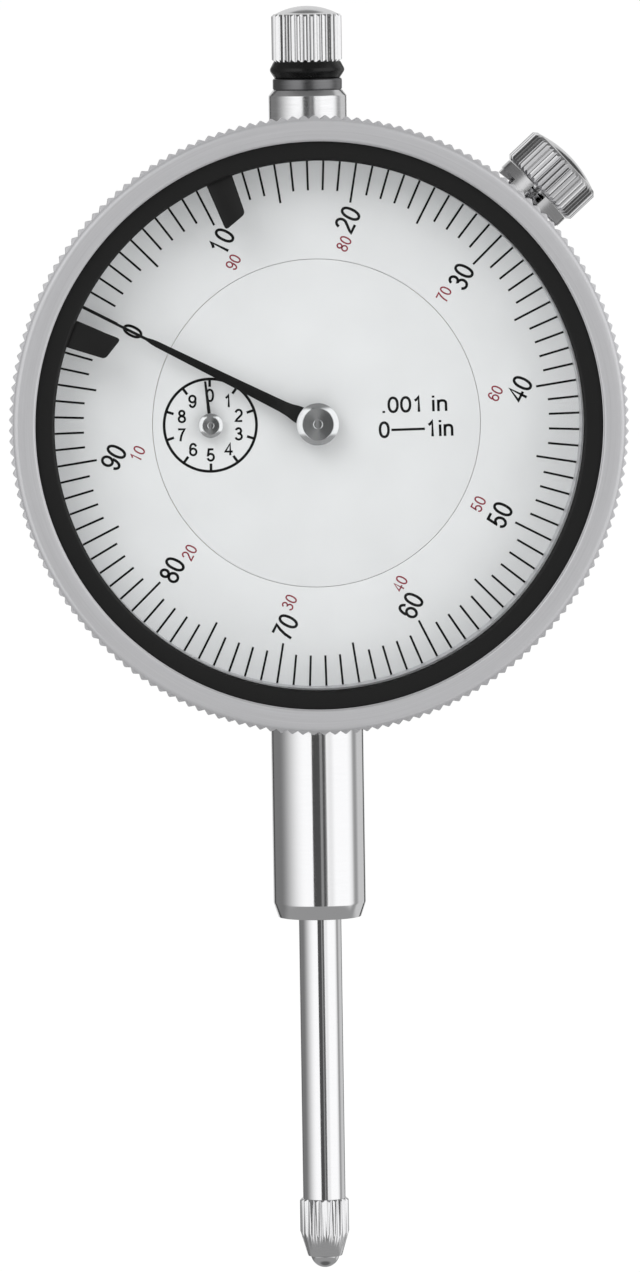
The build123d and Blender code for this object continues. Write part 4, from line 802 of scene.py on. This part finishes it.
class INDICATOR_OT_bezel(bpy.types.Operator):
    """Make the knurled bezel, the crystal and its black ring"""

    bl_idname = "indicator.make_bezel"
    bl_label = "Bezel and crystal"

    def execute(self, context):
        outer = radius_of("bezel")
        bore = radius_of("crystal")
        face = front("bezel")
        crystal_back = rear("crystal")
        lip = front("crystal_ring")
        dial = front("dial_ring")
        wall = bore - 2.0 * MM
        counterbore = bore - 1.2 * MM
        sleeve = bore - 0.78 * MM
        sleeve_back = 9.8 * MM
        sleeve_front = 6.4 * MM
        groove = bore + 0.08 * MM
        inner_edge = bore + 0.22 * MM
        rim = outer - 1.0 * MM
        rim_back = face - 6.7 * MM
        rim_edge = 0.3 * MM
        knurl_front = face - 0.78 * MM
        knurl_back = face - 2.6 * MM
        face_edge = outer - 0.85 * MM
        bead = 0.55 * MM
        turns = [radians(90 * k / 5) for k in range(6)]
        roll = [(face_edge + bead * sin(t), face - bead * (1 - cos(t)), 0) for t in turns]
        profile = rounded([
            *roll, (outer, knurl_front, 0), (outer, knurl_back, 0),
            (rim, knurl_back, 0.05 * MM), (rim, rim_back + rim_edge, 0.05 * MM), (rim - rim_edge, rim_back),
            (bore, rim_back), (bore, sleeve_back), (sleeve, sleeve_back), (sleeve, sleeve_front),
            (counterbore, sleeve_front), (counterbore, dial), (wall, dial, 0), (wall, crystal_back, 0),
            (bore, crystal_back), (bore, lip + 0.1 * MM, 0.02 * MM), (groove, lip + 0.12 * MM, 0.02 * MM),
            (groove, face - 0.1 * MM, 0.03 * MM), (inner_edge, face, 0.05 * MM),
        ], 0.03 * MM, 2)
        mesh = knurled(
            profile, wall_start(profile, outer), sizes().bezel_teeth, sizes().bezel_tooth_depth, DIAL_AXIS,
            "bezel satin", 0.12)

        def finish_number(spot):
            reach = hypot(spot.x, spot.y)
            if reach > face_edge and spot.z > knurl_back:
                return 3 if spot.z < face - 0.6 * MM else 1
            inside = reach < inner_edge and spot.z > dial - 0.1 * MM
            return 2 if inside and reach < wall + 0.05 * MM else inside

        choose_finishes(mesh, finish_number, DIAL_AXIS)
        finishes = ["bezel satin", "edge bright", "wall mirror", "bezel knurl"]
        add_piece("bezel_knurled", mesh, finishes, "bezel", ["bezel"])

        glass = rounded([
            (0, crystal_back), (bore, crystal_back, 0.1 * MM), (bore, front("crystal"), 0.1 * MM),
            (0, front("crystal"))], 0.1 * MM)
        add_piece("crystal_disc", lathe(glass, DIAL_AXIS), "crystal", "bezel", ["crystal"])

        ring = radius_of("crystal_ring")
        skirt = ring - 0.4 * MM
        inner = ring - 1.97 * MM
        bevel = 0.25 * MM
        low = rear("crystal_ring")
        under = lip - 0.5 * MM
        profile = rounded([
            (skirt, low), (ring, low), (ring, lip, 0.08 * MM), (inner + bevel, lip, 0.08 * MM),
            (inner, lip - bevel, 0.05 * MM), (inner, under, 0.02 * MM), (skirt, under)], 0.03 * MM)
        add_piece("black_ring", lathe(profile, DIAL_AXIS, 256), "black plastic", "bezel",
                  ["crystal_ring"])
        return {"FINISHED"}


class INDICATOR_OT_dial(bpy.types.Operator):
    """Make the turning dial ring and the fixed inner dial"""

    bl_idname = "indicator.make_dial"
    bl_label = "Dial"

    def execute(self, context):
        top = front("dial_ring")
        back = rear("dial_ring")
        outer = radius_of("dial_ring")
        edge = radius_of("inner_dial")
        inner = edge + 0.04 * MM
        ring = rounded([(inner, back), (outer, back), (outer, top), (inner, top, 0.05 * MM)], 0.02 * MM)
        add_piece("dial_ring_enamel", lathe(ring, DIAL_AXIS), "dial enamel", "bezel",
                  ["dial_ring"])
        disc = rounded([(0, back), (edge, back), (edge, top, 0.05 * MM), (0, top)], 0.02 * MM)
        add_piece("inner_dial_enamel", lathe(disc, DIAL_AXIS), "dial enamel", "case",
                  ["inner_dial"])
        return {"FINISHED"}


class INDICATOR_OT_print(bpy.types.Operator):
    """Print the division lines and figures on the dial"""

    bl_idname = "indicator.make_print"
    bl_label = "Print on the dial"

    def ring_print(self):
        size = sizes()
        level = front("dial_ring") + PRINT_RISE
        turned = DIAL_AXIS @ Matrix.Translation((0, 0, level)) @ Matrix.Rotation(-ZERO_ANGLE, 4, "Z")
        per_group = 5
        step = 2 * pi / size.divisions
        tick_end = 27.0 * MM
        tick_start = 23.78 * MM
        long_tick_start = 22.76 * MM
        figure_reach = 21.02 * MM
        small_figure_reach = 18.53 * MM
        lines = []
        for k in range(per_group):
            line = line_mesh(tick_start if k else long_tick_start, tick_end, size.tick_width)
            line.transform(Matrix.Rotation(-k * step, 4, "Z"))
            lines.append(line)
        ticks = repeated(joined(lines), size.divisions // per_group, turned, "black print")
        figures = [ticks]
        reds = []
        for k in range(10):
            angle = 2 * pi * k / 10
            figure = word_mesh(str(10 * k), size.figure_height)
            figure.transform(turned @ Matrix.Translation(at_dial_angle(figure_reach, angle)))
            figures.append(figure)
            if k:
                small = word_mesh(str(100 - 10 * k), size.small_figure_height, 0.82, weight=0.125)
                small.transform(turned @ Matrix.Translation(at_dial_angle(small_figure_reach, angle)))
                reds.append(small)
        add_piece("dial_figures_black", joined(figures), "black print", "bezel")
        add_piece("dial_figures_red", joined(reds), "red print", "bezel")

    def centre_words(self, level):
        """The division's value and the range, right of the middle; sizes and places in millimetres."""
        upright = DIAL_AXIS @ level @ Matrix.Rotation(radians(0.87), 4, "Z")
        words = []
        for text, height, x, y, stretch in (
                (".001 in", 1.61, 6.76, 1.62, 1.03), ("0", 1.64, 6.32, -0.9, 0.98),
                ("1in", 1.64, 11.36, -0.92, 0.95)):
            mesh = word_mesh(text, height * MM, stretch, True, 0.165)
            mesh.transform(upright @ Matrix.Translation((x * MM, y * MM, 0)))
            words.append(mesh)
        dash = line_mesh(7.62 * MM, 11.05 * MM, 0.25 * MM)
        dash.transform(
            upright @ Matrix.Translation((0, -0.94 * MM, 0)) @ Matrix.Rotation(radians(-90), 4, "Z"))
        return [*words, dash]

    def counter_scale(self, level):
        """The ring, ticks and figures of the revolution counter."""
        counter = COUNTER_AXIS @ level
        inner = 4.58 * MM
        outer = 4.86 * MM
        figure_reach = 3.04 * MM
        section = [(inner, -PRINT_RISE), (outer, -PRINT_RISE), (outer, PRINT_RISE), (inner, PRINT_RISE)]
        pieces = [lathe(section, counter, 96)]
        pieces.append(repeated(line_mesh(3.92 * MM, 4.65 * MM, 0.27 * MM), 10, counter, "black print"))
        for k in range(10):
            figure = word_mesh(str(k), 1.3 * MM, 0.93, weight=0.17)
            figure.transform(counter @ Matrix.Translation(at_dial_angle(figure_reach, 2 * pi * k / 10)))
            pieces.append(figure)
        return pieces

    def centre_print(self):
        level = Matrix.Translation((0, 0, front("inner_dial") + PRINT_RISE))
        pieces = [*self.centre_words(level), *self.counter_scale(level)]
        add_piece("inner_dial_figures", joined(pieces), "black print", "case")

    def execute(self, context):
        self.ring_print()
        self.centre_print()
        return {"FINISHED"}


class INDICATOR_OT_hands(bpy.types.Operator):
    """Make the pointer, the counter hand and their hubs"""

    bl_idname = "indicator.make_hands"
    bl_label = "Hands"

    def hub(self, node, axis, name, body, face_finish, face_share, pip):
        """A turned hub with a bright bevel, a face darkened with painted shade and a pip sunk in its middle.
        """
        outer = radius_of(node)
        top = front(node)
        low = rear(node)
        face = outer * face_share
        edge = (outer - face) / 2
        dish = top - 0.03 * MM
        pip_floor = top - 0.1 * MM
        profile = rounded([
            (0, low), (outer, low, 0.03 * MM), (outer, top - edge, 0.08 * MM), (face, top, 0.03 * MM),
            (face - 0.04 * MM, dish, 0.01 * MM), (pip * 1.15, dish, 0.02 * MM),
            (pip, pip_floor, 0.03 * MM), (0, pip_floor)], 0.02 * MM)
        mesh = lathe(profile, axis, 96, 40)
        choose_finishes(
            mesh, lambda spot: hypot(spot.x, spot.y) < face - 0.03 * MM and spot.z > low + edge, axis)
        add_piece(name, mesh, ["hub polish", face_finish], body, [node])

    def blade(self, widths):
        """Both sides of a hand, from (reach, half width) in millimetres, out and back again."""
        right = [(half * MM, reach * MM) for reach, half in widths]
        return right + [(-x, y) for x, y in reversed(right)]

    def execute(self, context):
        widths = [
            (2.0, 0.90), (2.6, 0.82), (3.2, 0.68), (4.0, 0.61), (10.0, 0.47), (18.4, 0.315), (18.9, 0.27),
            (19.5, 0.155), (26.76, 0.115)]
        outline = self.blade(widths) + arc(2.1 * MM, 100, 440, 40)[3:-3]
        turned = DIAL_AXIS @ Matrix.Rotation(-POINTER_ANGLE, 4, "Z")
        mesh = plate(outline, rear("pointer"), front("pointer"), turned, 0.025 * MM)
        add_piece("pointer_blade", mesh, "black enamel", "centre_arbor", ["pointer"])
        self.hub("pointer_hub", DIAL_AXIS, "pointer_hub_turned", "centre_arbor", "hub face", 0.74, 0.43 * MM)

        outline = self.blade([(0.6, 0.18), (1.4, 0.17), (4.55, 0.11)]) + arc(1.05 * MM, 112, 428, 30)
        turned = COUNTER_AXIS @ Matrix.Rotation(-COUNTER_HAND_ANGLE, 4, "Z")
        mesh = plate(outline, rear("counter_hand"), front("counter_hand"), turned, 0.02 * MM)
        add_piece("counter_hand_blade", mesh, "black enamel", "counter_arbor",
                  ["counter_hand"])
        self.hub("counter_hub", COUNTER_AXIS, "counter_hub_turned", "counter_arbor", "counter face", 0.7,
                 0.3 * MM)
        return {"FINISHED"}


class INDICATOR_OT_markers(bpy.types.Operator):
    """Make the two black tolerance markers"""

    bl_idname = "indicator.make_markers"
    bl_label = "Tolerance markers"

    def execute(self, context):
        seat = 28.46 * MM
        half = tan(radians(2.9)) * seat
        root = seat - 0.5 * MM
        far_tip = 22.0 * MM
        near_tip = 22.8 * MM
        corner = 0.42 * MM
        # rounded() leaves a profile's points on the axis sharp, so the outline is moved off it meanwhile
        clear_of_axis = 1.0
        for node, angle, side in (("low_marker", -68.8, 1), ("high_marker", -21.3, -1)):
            corners = [
                (-half, root, 0), (half, root, 0), (half * 0.9, far_tip, corner),
                (-half * 0.8, near_tip, corner)]
            shifted = [(x + clear_of_axis, y, r) for x, y, r in corners]
            outline = [((x - clear_of_axis) * side, y) for x, y in rounded(shifted, 0, 5)]
            turned = DIAL_AXIS @ Matrix.Rotation(radians(-angle), 4, "Z")
            mesh = plate(outline, rear(node), front(node), turned, 0.04 * MM)
            add_piece(f"{node}_finger", mesh, "black plastic", node, [node])
        return {"FINISHED"}


class INDICATOR_OT_stem(bpy.types.Operator):
    """Make the stem below the case, and the sleeve and collar above it"""

    bl_idname = "indicator.make_stem"
    bl_label = "Stem and sleeve"

    def execute(self, context):
        low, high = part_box("stem")
        outer = radius_of("stem")
        bore = 2.8 * MM
        nose = 4.27 * MM
        taper = 1.5 * MM
        shoulder = 12.1 * MM
        spigot = 4.3 * MM
        profile = rounded([
            (bore, low.z, 0.05 * MM), (nose, low.z, 0.08 * MM), (outer, low.z + taper, 0.12 * MM),
            (outer, shoulder, 0.1 * MM), (spigot, shoulder, 0), (spigot, high.z, 0), (bore, high.z, 0),
        ], 0.05 * MM)
        mesh = lathe(profile, STEM_AXIS, 128, 20)
        choose_finishes(mesh, lambda spot: spot.z < low.z + taper - 0.04 * MM)
        add_piece("stem_polished", mesh, ["stem polish", "stem end steel"], "case",
                  ["stem"])

        low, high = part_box("upper_sleeve")
        outer = radius_of("upper_sleeve")
        sleeve_bore = 2.9 * MM
        taper = 0.6 * MM
        profile = rounded([
            (sleeve_bore, low.z, 0), (outer, low.z, 0), (outer, high.z - taper, 0.06 * MM),
            (outer - 0.45 * MM, high.z, 0.06 * MM), (sleeve_bore, high.z, 0)], 0)
        mesh = lathe(profile, STEM_AXIS, 128, 20)
        choose_finishes(mesh, lambda spot: spot.z > high.z - taper + 0.02 * MM)
        add_piece("sleeve_polished", mesh, ["sleeve steel", "stem end steel"], "case",
                  ["upper_sleeve"])

        low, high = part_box("upper_bush")
        outer = radius_of("upper_bush")
        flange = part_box("upper_sleeve")[1].z
        bush_bore = 2.24 * MM
        bevel = 0.15 * MM
        profile = rounded([
            (bush_bore, low.z, 0), (sleeve_bore, low.z, 0), (sleeve_bore, flange, 0),
            (outer - 0.1 * MM, flange, 0.03 * MM), (outer, flange + 0.12 * MM, 0.03 * MM),
            (outer, high.z - bevel, 0.06 * MM), (outer - bevel, high.z, 0.05 * MM),
            (bush_bore, high.z, 0.03 * MM)], 0)
        # The collar takes the steel darkened with painted shade.
        add_piece("collar_turned", lathe(profile, STEM_AXIS, 128, 30), "grey steel", "case",
                  ["upper_bush"])
        return {"FINISHED"}


def knurled_head(radius, height, top, edge, dome_steps=8):
    """Profile of a knurled head on z = 0: lower bevel, wall, upper bevel and a domed top."""
    shoulder = height + edge
    rise = top - shoulder
    base = radius - edge - 0.12 * MM
    ball = (base ** 2 + rise ** 2) / (2 * rise)
    points = [(0, 0), (radius - edge, 0), (radius, edge), (radius, height), (radius - edge, shoulder)]
    for k in range(dome_steps + 1):
        turn = asin(base / ball) * (1 - k / dome_steps)
        points.append((ball * sin(turn), shoulder + rise - ball * (1 - cos(turn))))
    points[-1] = (0, top)
    return points, 2


class INDICATOR_OT_plunger(bpy.types.Operator):
    """Make the plunger, its fluted contact and ball, the lifting knob and its O-ring"""

    bl_idname = "indicator.make_plunger"
    bl_label = "Plunger and knob"

    def execute(self, context):
        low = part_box("plunger")[0].z
        radius = 2.2 * MM
        collar_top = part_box("upper_bush")[1].z
        knob_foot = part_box("lifting_knob")[0].z
        seat = 2.1 * MM
        profile = [(0, low), (radius, low), (radius, collar_top), (seat, collar_top), (seat, knob_foot),
                   (0, knob_foot)]
        add_piece("plunger_polished", lathe(rounded(profile, 0), STEM_AXIS, 96, 20), "stem polish", "plunger",
                  ["plunger"])

        radius = 2.525 * MM
        flute = 0.22 * MM
        foot = low - 3.4 * MM
        tip = foot - 2.62 * MM
        tip_radius = 1.77 * MM
        profile = rounded([
            (0, tip), (tip_radius, tip, 0.12 * MM), (radius, foot, 0), (radius, low - flute, 0),
            (radius - flute, low, 0.04 * MM), (0, low)], 0, 2)
        mesh = knurled(
            profile, wall_start(profile, radius), sizes().contact_flutes, flute, STEM_AXIS, "knurl steel")
        choose_finishes(mesh, lambda spot: spot.z < foot + 0.02 * MM)
        add_piece("contact_fluted", mesh, ["knurl steel", "cone steel"], "plunger",
                  ["contact_body"])

        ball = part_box("contact_ball")
        middle = (ball[0].z + ball[1].z) / 2
        size = (ball[1].z - ball[0].z) / 2
        points = [(size * sin(pi * k / 32), middle - size * cos(pi * k / 32)) for k in range(33)]
        points[0] = (0, middle - size)
        points[-1] = (0, middle + size)
        add_piece("contact_ball_polished", lathe(points, STEM_AXIS, 64), "ball chrome", "plunger",
                  ["contact_ball"])

        low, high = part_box("lifting_knob")
        height = 4.62 * MM
        edge = 0.22 * MM
        profile, wall = knurled_head(3.6 * MM, height, high.z - low.z - 0.12 * MM, edge)
        head = STEM_AXIS @ Matrix.Translation((0, 0, low.z))
        mesh = knurled(profile, wall, sizes().knob_flutes, 0.3 * MM, head, "knurl steel")
        # The dome takes the steel darkened with painted shade.
        choose_finishes(mesh, lambda spot: spot.z > height + edge + 0.02 * MM, head)
        add_piece("knob_knurled", mesh, ["knurl steel", "shaded dome steel"], "plunger",
                  ["lifting_knob"])

        low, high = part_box("knob_o_ring")
        reach = radius_of("knob_o_ring")
        hole = 2.2 * MM
        middle = (low.z + high.z) / 2 - 0.03 * MM
        profile = rounded([
            (hole, low.z, 0), (reach - 0.5 * MM, low.z, 0.12 * MM), (reach + 0.04 * MM, middle, 0.3 * MM),
            (reach - 0.42 * MM, high.z, 0.12 * MM), (hole, high.z, 0)], 0, 8)
        add_piece("o_ring", lathe(profile, STEM_AXIS, 128, 50), "rubber", "plunger",
                  ["knob_o_ring"])
        return {"FINISHED"}


class INDICATOR_OT_clamp(bpy.types.Operator):
    """Make the bezel clamp's washer and knurled screw"""

    bl_idname = "indicator.make_clamp"
    bl_label = "Bezel clamp"

    def execute(self, context):
        radius = 4.15 * MM
        bore = 1.6 * MM
        notch = 0.85 * MM
        seat = 31.8 * MM
        thickness = 1.05 * MM
        turn = degrees(asin(notch / radius))
        inner_turn = degrees(asin(notch / bore))
        outline = arc(radius, -90 + turn, 270 - turn, 72)
        outline += reversed(arc(bore, -90 + inner_turn, 270 - inner_turn, 40))
        washer = plate(outline, seat, seat + thickness, CLAMP_AXIS, 0.12 * MM)
        toe = self.toe(radius, -3.28 * MM, seat - 1.24 * MM, seat, notch)
        heels = self.heels(1.75 * MM, 3.95 * MM, seat)
        add_piece("clamp_washer", joined([washer, toe, heels]), "washer steel", "clamp_shoe",
                  ["clamp_shoe"])

        foot = seat + thickness + 0.1 * MM
        head_height = 3.6 * MM
        edge = 0.35 * MM
        profile, wall = knurled_head(4.55 * MM, head_height, 4.7 * MM, edge)
        head = CLAMP_AXIS @ Matrix.Translation((0, 0, foot))
        mesh = knurled(profile, wall, sizes().clamp_flutes, 0.28 * MM, head, "clamp knurl", 0.3)
        shank = lathe(self.thread_profile(26.7 * MM, foot + 0.02 * MM), CLAMP_AXIS, 48, 30)
        finishes = ["clamp knurl", "clamp dome", "washer steel"]
        choose_finishes(mesh, lambda spot: spot.z > head_height + edge - 0.03 * MM, head)
        choose_finishes(shank, lambda spot: finishes.index("washer steel"))
        for part in (mesh, shank):
            part.materials.clear()
            for finish in finishes:
                part.materials.append(finish_of(finish))
        add_piece("clamp_screw_knurled", joined([mesh, shank]), finishes, "clamp_screw",
                  ["clamp_screw"])
        return {"FINISHED"}

    def toe(self, radius, edge_y, low, high, notch):
        """The part of the washer that reaches down to the bezel's rim."""
        start = degrees(asin(edge_y / radius))
        end = -90 + degrees(asin(notch / radius))
        halves = []
        for side in (1, -1):
            outline = [(x * side, y) for x, y in arc(radius, start, end, 8)]
            outline += [(notch * side, edge_y)]
            halves.append(plate(outline, low, high + OVERLAP, CLAMP_AXIS, 0))
        return joined(halves)

    def heels(self, start, end, seat):
        """The washer's underside, hollowed to follow the bezel's round."""
        hollow = 31.7 * MM
        half_width = 1.0 * MM
        across = CLAMP_AXIS @ Matrix.Rotation(pi / 2, 4, "X")
        steps = [start + (end - start) * k / 8 for k in range(9)]
        halves = []
        for side in (1, -1):
            outline = [(side * x, sqrt(hollow ** 2 - (side * x + CLAMP_SIDE) ** 2)) for x in steps]
            outline += [(outline[-1][0], seat + OVERLAP), (outline[0][0], seat + OVERLAP)]
            halves.append(plate(outline, -half_width, half_width, across, 0))
        return joined(halves)

    def thread_profile(self, start, end):
        """A V thread drawn as rings."""
        pitch = 0.5 * MM
        crest = 1.5 * MM
        root = 1.26 * MM
        points = [(0, start), (root, start)]
        height = start
        while height + pitch < end:
            points += [(crest, height + pitch * 0.45), (crest, height + pitch * 0.55), (root, height + pitch)]
            height += pitch
        return points + [(root, end), (0, end)]


class INDICATOR_OT_case(bpy.types.Operator):
    """Dress the case, the back cover and the screws that show"""

    bl_idname = "indicator.make_case"
    bl_label = "Case and back"

    def execute(self, context):
        for node, finish, slot in (
                ("case_body", "case satin", "satin_chrome"), ("back_cover", "case satin", "satin_chrome"),
                ("cover_screws", "screw steel", "satin_steel"), ("back_gasket", "rubber", "gasket")):
            add_piece(f"{node}_smooth", smoothed(node), finish, "case", [node])
        return {"FINISHED"}


class INDICATOR_OT_movement(bpy.types.Operator):
    """Give the pieces inside the case their finishes"""

    bl_idname = "indicator.finish_movement"
    bl_label = "Movement finishes"

    def execute(self, context):
        finishes = {
            "brass": "plate brass", "bronze": "bush bronze", "satin_steel": "screw steel",
            "spring_steel": "spring steel", "polished_steel": "stem polish", "chrome": "ball chrome",
            "satin_chrome": "case satin", "black_enamel": "black enamel", "dial_enamel": "dial enamel",
            "black_plastic": "black plastic", "rubber": "rubber", "crystal": "crystal", "gasket": "rubber",
        }
        for entry in frame["record"]["subparts"]:
            mesh = frame["nodes"][entry["node"]].data
            mesh.materials.clear()
            mesh.materials.append(finish_of(finishes[entry["material_slot"]]))
        return {"FINISHED"}


SOFT_LIGHT = 0.86
STUDIO_WHITE = 1.12
UPPER_WALL = 0.22
CEILING = 0.14
LOWER_WALL = 0.32
GROUND = 0.12

# The studio as the metal mirrors it. Each card stands at a turn round the object, with 0 towards the
# viewer and more to the right: middle, half width and soft edge in degrees, then brightness.
STUDIO_CARDS = {
    "camera side": (-0.3, 17.7, 1.5, 0.08),
    "slit beside the camera": (4.7, 3.2, 1.0, 0.29),
    "right front": (26.0, 8.0, 14.0, 0.92),
    "right sheet": (128.0, 40.0, 30.0, 0.62),
    "right flag": (101.0, 8.0, 12.0, 0.34),
    "left flag": (-130.0, 55.0, 80.0, 0.20),
    "back": (180.0, 21.0, 3.0, 0.72),
    "left rim flag": (-152.0, 6.5, 3.0, 0.08),
    "right rim flag": (152.0, 6.5, 3.0, 0.08),
}


class INDICATOR_OT_stage(bpy.types.Operator):
    """Add the floor, the studio light and the camera"""

    bl_idname = "indicator.make_stage"
    bl_label = "Studio"

    def camera(self):
        """Camera at the photograph's viewing angle, for a tall 640 by 1272 frame."""
        place = Vector((-62.79, -1088.2, 99.755)) * MM
        yaw, pitch, roll = radians(3.3254), radians(4.2544), radians(-0.8738)
        ahead = Vector((sin(yaw) * cos(pitch), cos(yaw) * cos(pitch), -sin(pitch)))
        level = Vector((cos(yaw), -sin(yaw), 0))
        above = level.cross(ahead)
        right = level * cos(roll) + above * sin(roll)
        up = above * cos(roll) - level * sin(roll)
        lens = bpy.data.cameras.new("Camera")
        lens.sensor_fit = "VERTICAL"
        lens.sensor_height = 36
        lens.lens = 300.56
        lens.clip_end = 20
        view = bpy.data.objects.new("Camera", lens)
        view.matrix_world = Matrix.Translation(place) @ Matrix((right, up, -ahead)).transposed().to_4x4()
        bpy.context.scene.collection.objects.link(view)
        bpy.context.scene.camera = view

    def floor(self):
        """A pale sheet that the camera sees as white, with the object's soft shadow left in it."""
        level = CAD_BOUNDS[0][2] - 60 * MM
        reach = 60
        corners = [(x * reach, y * reach, level) for x, y in ((-1, -1), (1, -1), (1, 1), (-1, 1))]
        mesh = bpy.data.meshes.new("floor")
        mesh.from_pydata(corners, [], [(0, 1, 2, 3)])
        material = bpy.data.materials.new("Studio floor")
        material.use_nodes = True
        tree = Tree(material.node_tree)
        output = tree.node("ShaderNodeOutputMaterial")
        place = tree.node("ShaderNodeTexCoord").outputs["Object"]
        cloud = tree.node("ShaderNodeTexNoise", {"Vector": place, "Scale": 6.0}).outputs["Fac"]
        tone = tree.node("ShaderNodeMix", {"Factor": cloud}, data_type="RGBA")
        tone.inputs["A"].default_value = (0.82, 0.82, 0.82, 1)
        tone.inputs["B"].default_value = (0.85, 0.85, 0.85, 1)
        paper = tree.node("ShaderNodeBsdfDiffuse", {"Color": tone.outputs["Result"]})
        rays = tree.node("ShaderNodeLightPath").outputs
        seen = tree.math("MAXIMUM", rays["Is Camera Ray"], tree.math(
            "MAXIMUM", rays["Is Glossy Ray"], rays["Is Transmission Ray"]))
        glow = tree.node("ShaderNodeEmission", {"Color": (1, 1, 1, 1), "Strength": 1.08})
        share = tree.math("MULTIPLY", seen, 0.8)
        mix = tree.node("ShaderNodeMixShader", {0: share, 1: paper.outputs[0], 2: glow.outputs[0]})
        tree.link(mix.outputs[0], output.inputs["Surface"])
        mesh.materials.append(material)
        sheet = bpy.data.objects.new("Floor", mesh)
        sheet.visible_glossy = False
        bpy.context.scene.collection.objects.link(sheet)

    def world(self):
        """White to the camera, soft light for the object, and a studio of grey cards in its reflections."""
        world = bpy.data.worlds.new("Studio")
        bpy.context.scene.world = world
        world.use_nodes = True
        tree = Tree(world.node_tree)
        output = tree.node("ShaderNodeOutputWorld")
        rays = tree.node("ShaderNodeLightPath").outputs
        seen = tree.math("MAXIMUM", rays["Is Camera Ray"], rays["Is Transmission Ray"])
        plain = tree.blend(SOFT_LIGHT, 1.0, seen)
        strength = tree.blend(plain, self.cards(tree), rays["Is Glossy Ray"])
        sky = tree.node("ShaderNodeBackground", {"Color": (1, 1, 1, 1), "Strength": strength})
        tree.link(sky.outputs[0], output.inputs["Surface"])

    def cards(self, tree):
        """Brightness of the studio in a reflection's direction."""
        way = tree.node("ShaderNodeTexCoord").outputs["Generated"]
        x, y, z = tree.node("ShaderNodeSeparateXYZ", {"Vector": way}).outputs
        turn = tree.math("DEGREES", tree.math("ARCTAN2", x, tree.math("MULTIPLY", y, -1.0)))
        wall = STUDIO_WHITE
        for centre, half, edge, brightness in STUDIO_CARDS.values():
            offset = tree.math("WRAP", tree.math("SUBTRACT", turn, centre), 180.0, -180.0)
            away = tree.math("ABSOLUTE", offset)
            wall = tree.blend(wall, brightness, tree.fade(away, half + edge / 2, half - edge / 2))
        level = tree.math("DEGREES", tree.math("ARCSINE", z))
        room = tree.blend(wall, UPPER_WALL, tree.fade(level, 36.0, 45.0))
        room = tree.blend(room, CEILING, tree.fade(level, 54.0, 72.0))
        room = tree.blend(room, LOWER_WALL, tree.fade(level, -24.0, -34.0))
        return tree.blend(room, GROUND, tree.fade(level, -55.0, -75.0))

    def lamp(self, name, place, aim, size, power):
        light = bpy.data.lights.new(name, "AREA")
        light.shape = "RECTANGLE"
        light.size, light.size_y = size
        light.energy = power
        lamp = bpy.data.objects.new(name, light)
        way = Vector(aim) - Vector(place)
        lamp.matrix_world = Matrix.Translation(place) @ way.to_track_quat("-Z", "Y").to_matrix().to_4x4()
        lamp.visible_glossy = False
        bpy.context.scene.collection.objects.link(lamp)

    def execute(self, context):
        self.camera()
        self.floor()
        self.world()
        self.lamp("Key", (-0.75, -1.0, 1.0), (0, 0, 0.03), (0.9, 0.9), 8.0)
        self.lamp("Fill", (1.1, -0.8, 0.3), (0, 0, 0.03), (0.7, 1.1), 3.0)
        bpy.context.scene.view_settings.view_transform = "Standard"
        return {"FINISHED"}


class VIEW3D_PT_indicator(bpy.types.Panel):
    """Sizes, colours and pieces of the dial indicator"""

    bl_label = "Dial Indicator"
    bl_space_type = "VIEW_3D"
    bl_region_type = "UI"
    bl_category = "Dial Indicator"

    def draw(self, context):
        for group in (context.scene.indicator_sizes, context.scene.indicator_colours):
            box = self.layout.box()
            for name in group.bl_rna.properties.keys():
                if name not in ("rna_type", "name"):
                    box.prop(group, name)
        for operator in OPERATORS:
            self.layout.operator(operator.bl_idname)


OPERATORS = (
    INDICATOR_OT_movement, INDICATOR_OT_case, INDICATOR_OT_stem, INDICATOR_OT_plunger, INDICATOR_OT_bezel,
    INDICATOR_OT_dial, INDICATOR_OT_print, INDICATOR_OT_hands, INDICATOR_OT_markers, INDICATOR_OT_clamp,
    INDICATOR_OT_stage,
)
CLASSES = (IndicatorSizes, IndicatorColours, *OPERATORS, VIEW3D_PT_indicator)


def register():
    for cls in CLASSES:
        bpy.utils.register_class(cls)
    bpy.types.Scene.indicator_sizes = PointerProperty(type=IndicatorSizes)
    bpy.types.Scene.indicator_colours = PointerProperty(type=IndicatorColours)


def unregister():
    del bpy.types.Scene.indicator_colours
    del bpy.types.Scene.indicator_sizes
    for cls in reversed(CLASSES):
        bpy.utils.unregister_class(cls)


def main():
    register()
    bpy.ops.indicator.finish_movement()
    bpy.ops.indicator.make_case()
    bpy.ops.indicator.make_stem()
    bpy.ops.indicator.make_plunger()
    bpy.ops.indicator.make_bezel()
    bpy.ops.indicator.make_dial()
    bpy.ops.indicator.make_print()
    bpy.ops.indicator.make_hands()
    bpy.ops.indicator.make_markers()
    bpy.ops.indicator.make_clamp()
    bpy.ops.indicator.make_stage()


if __name__ == "__main__":
    main()
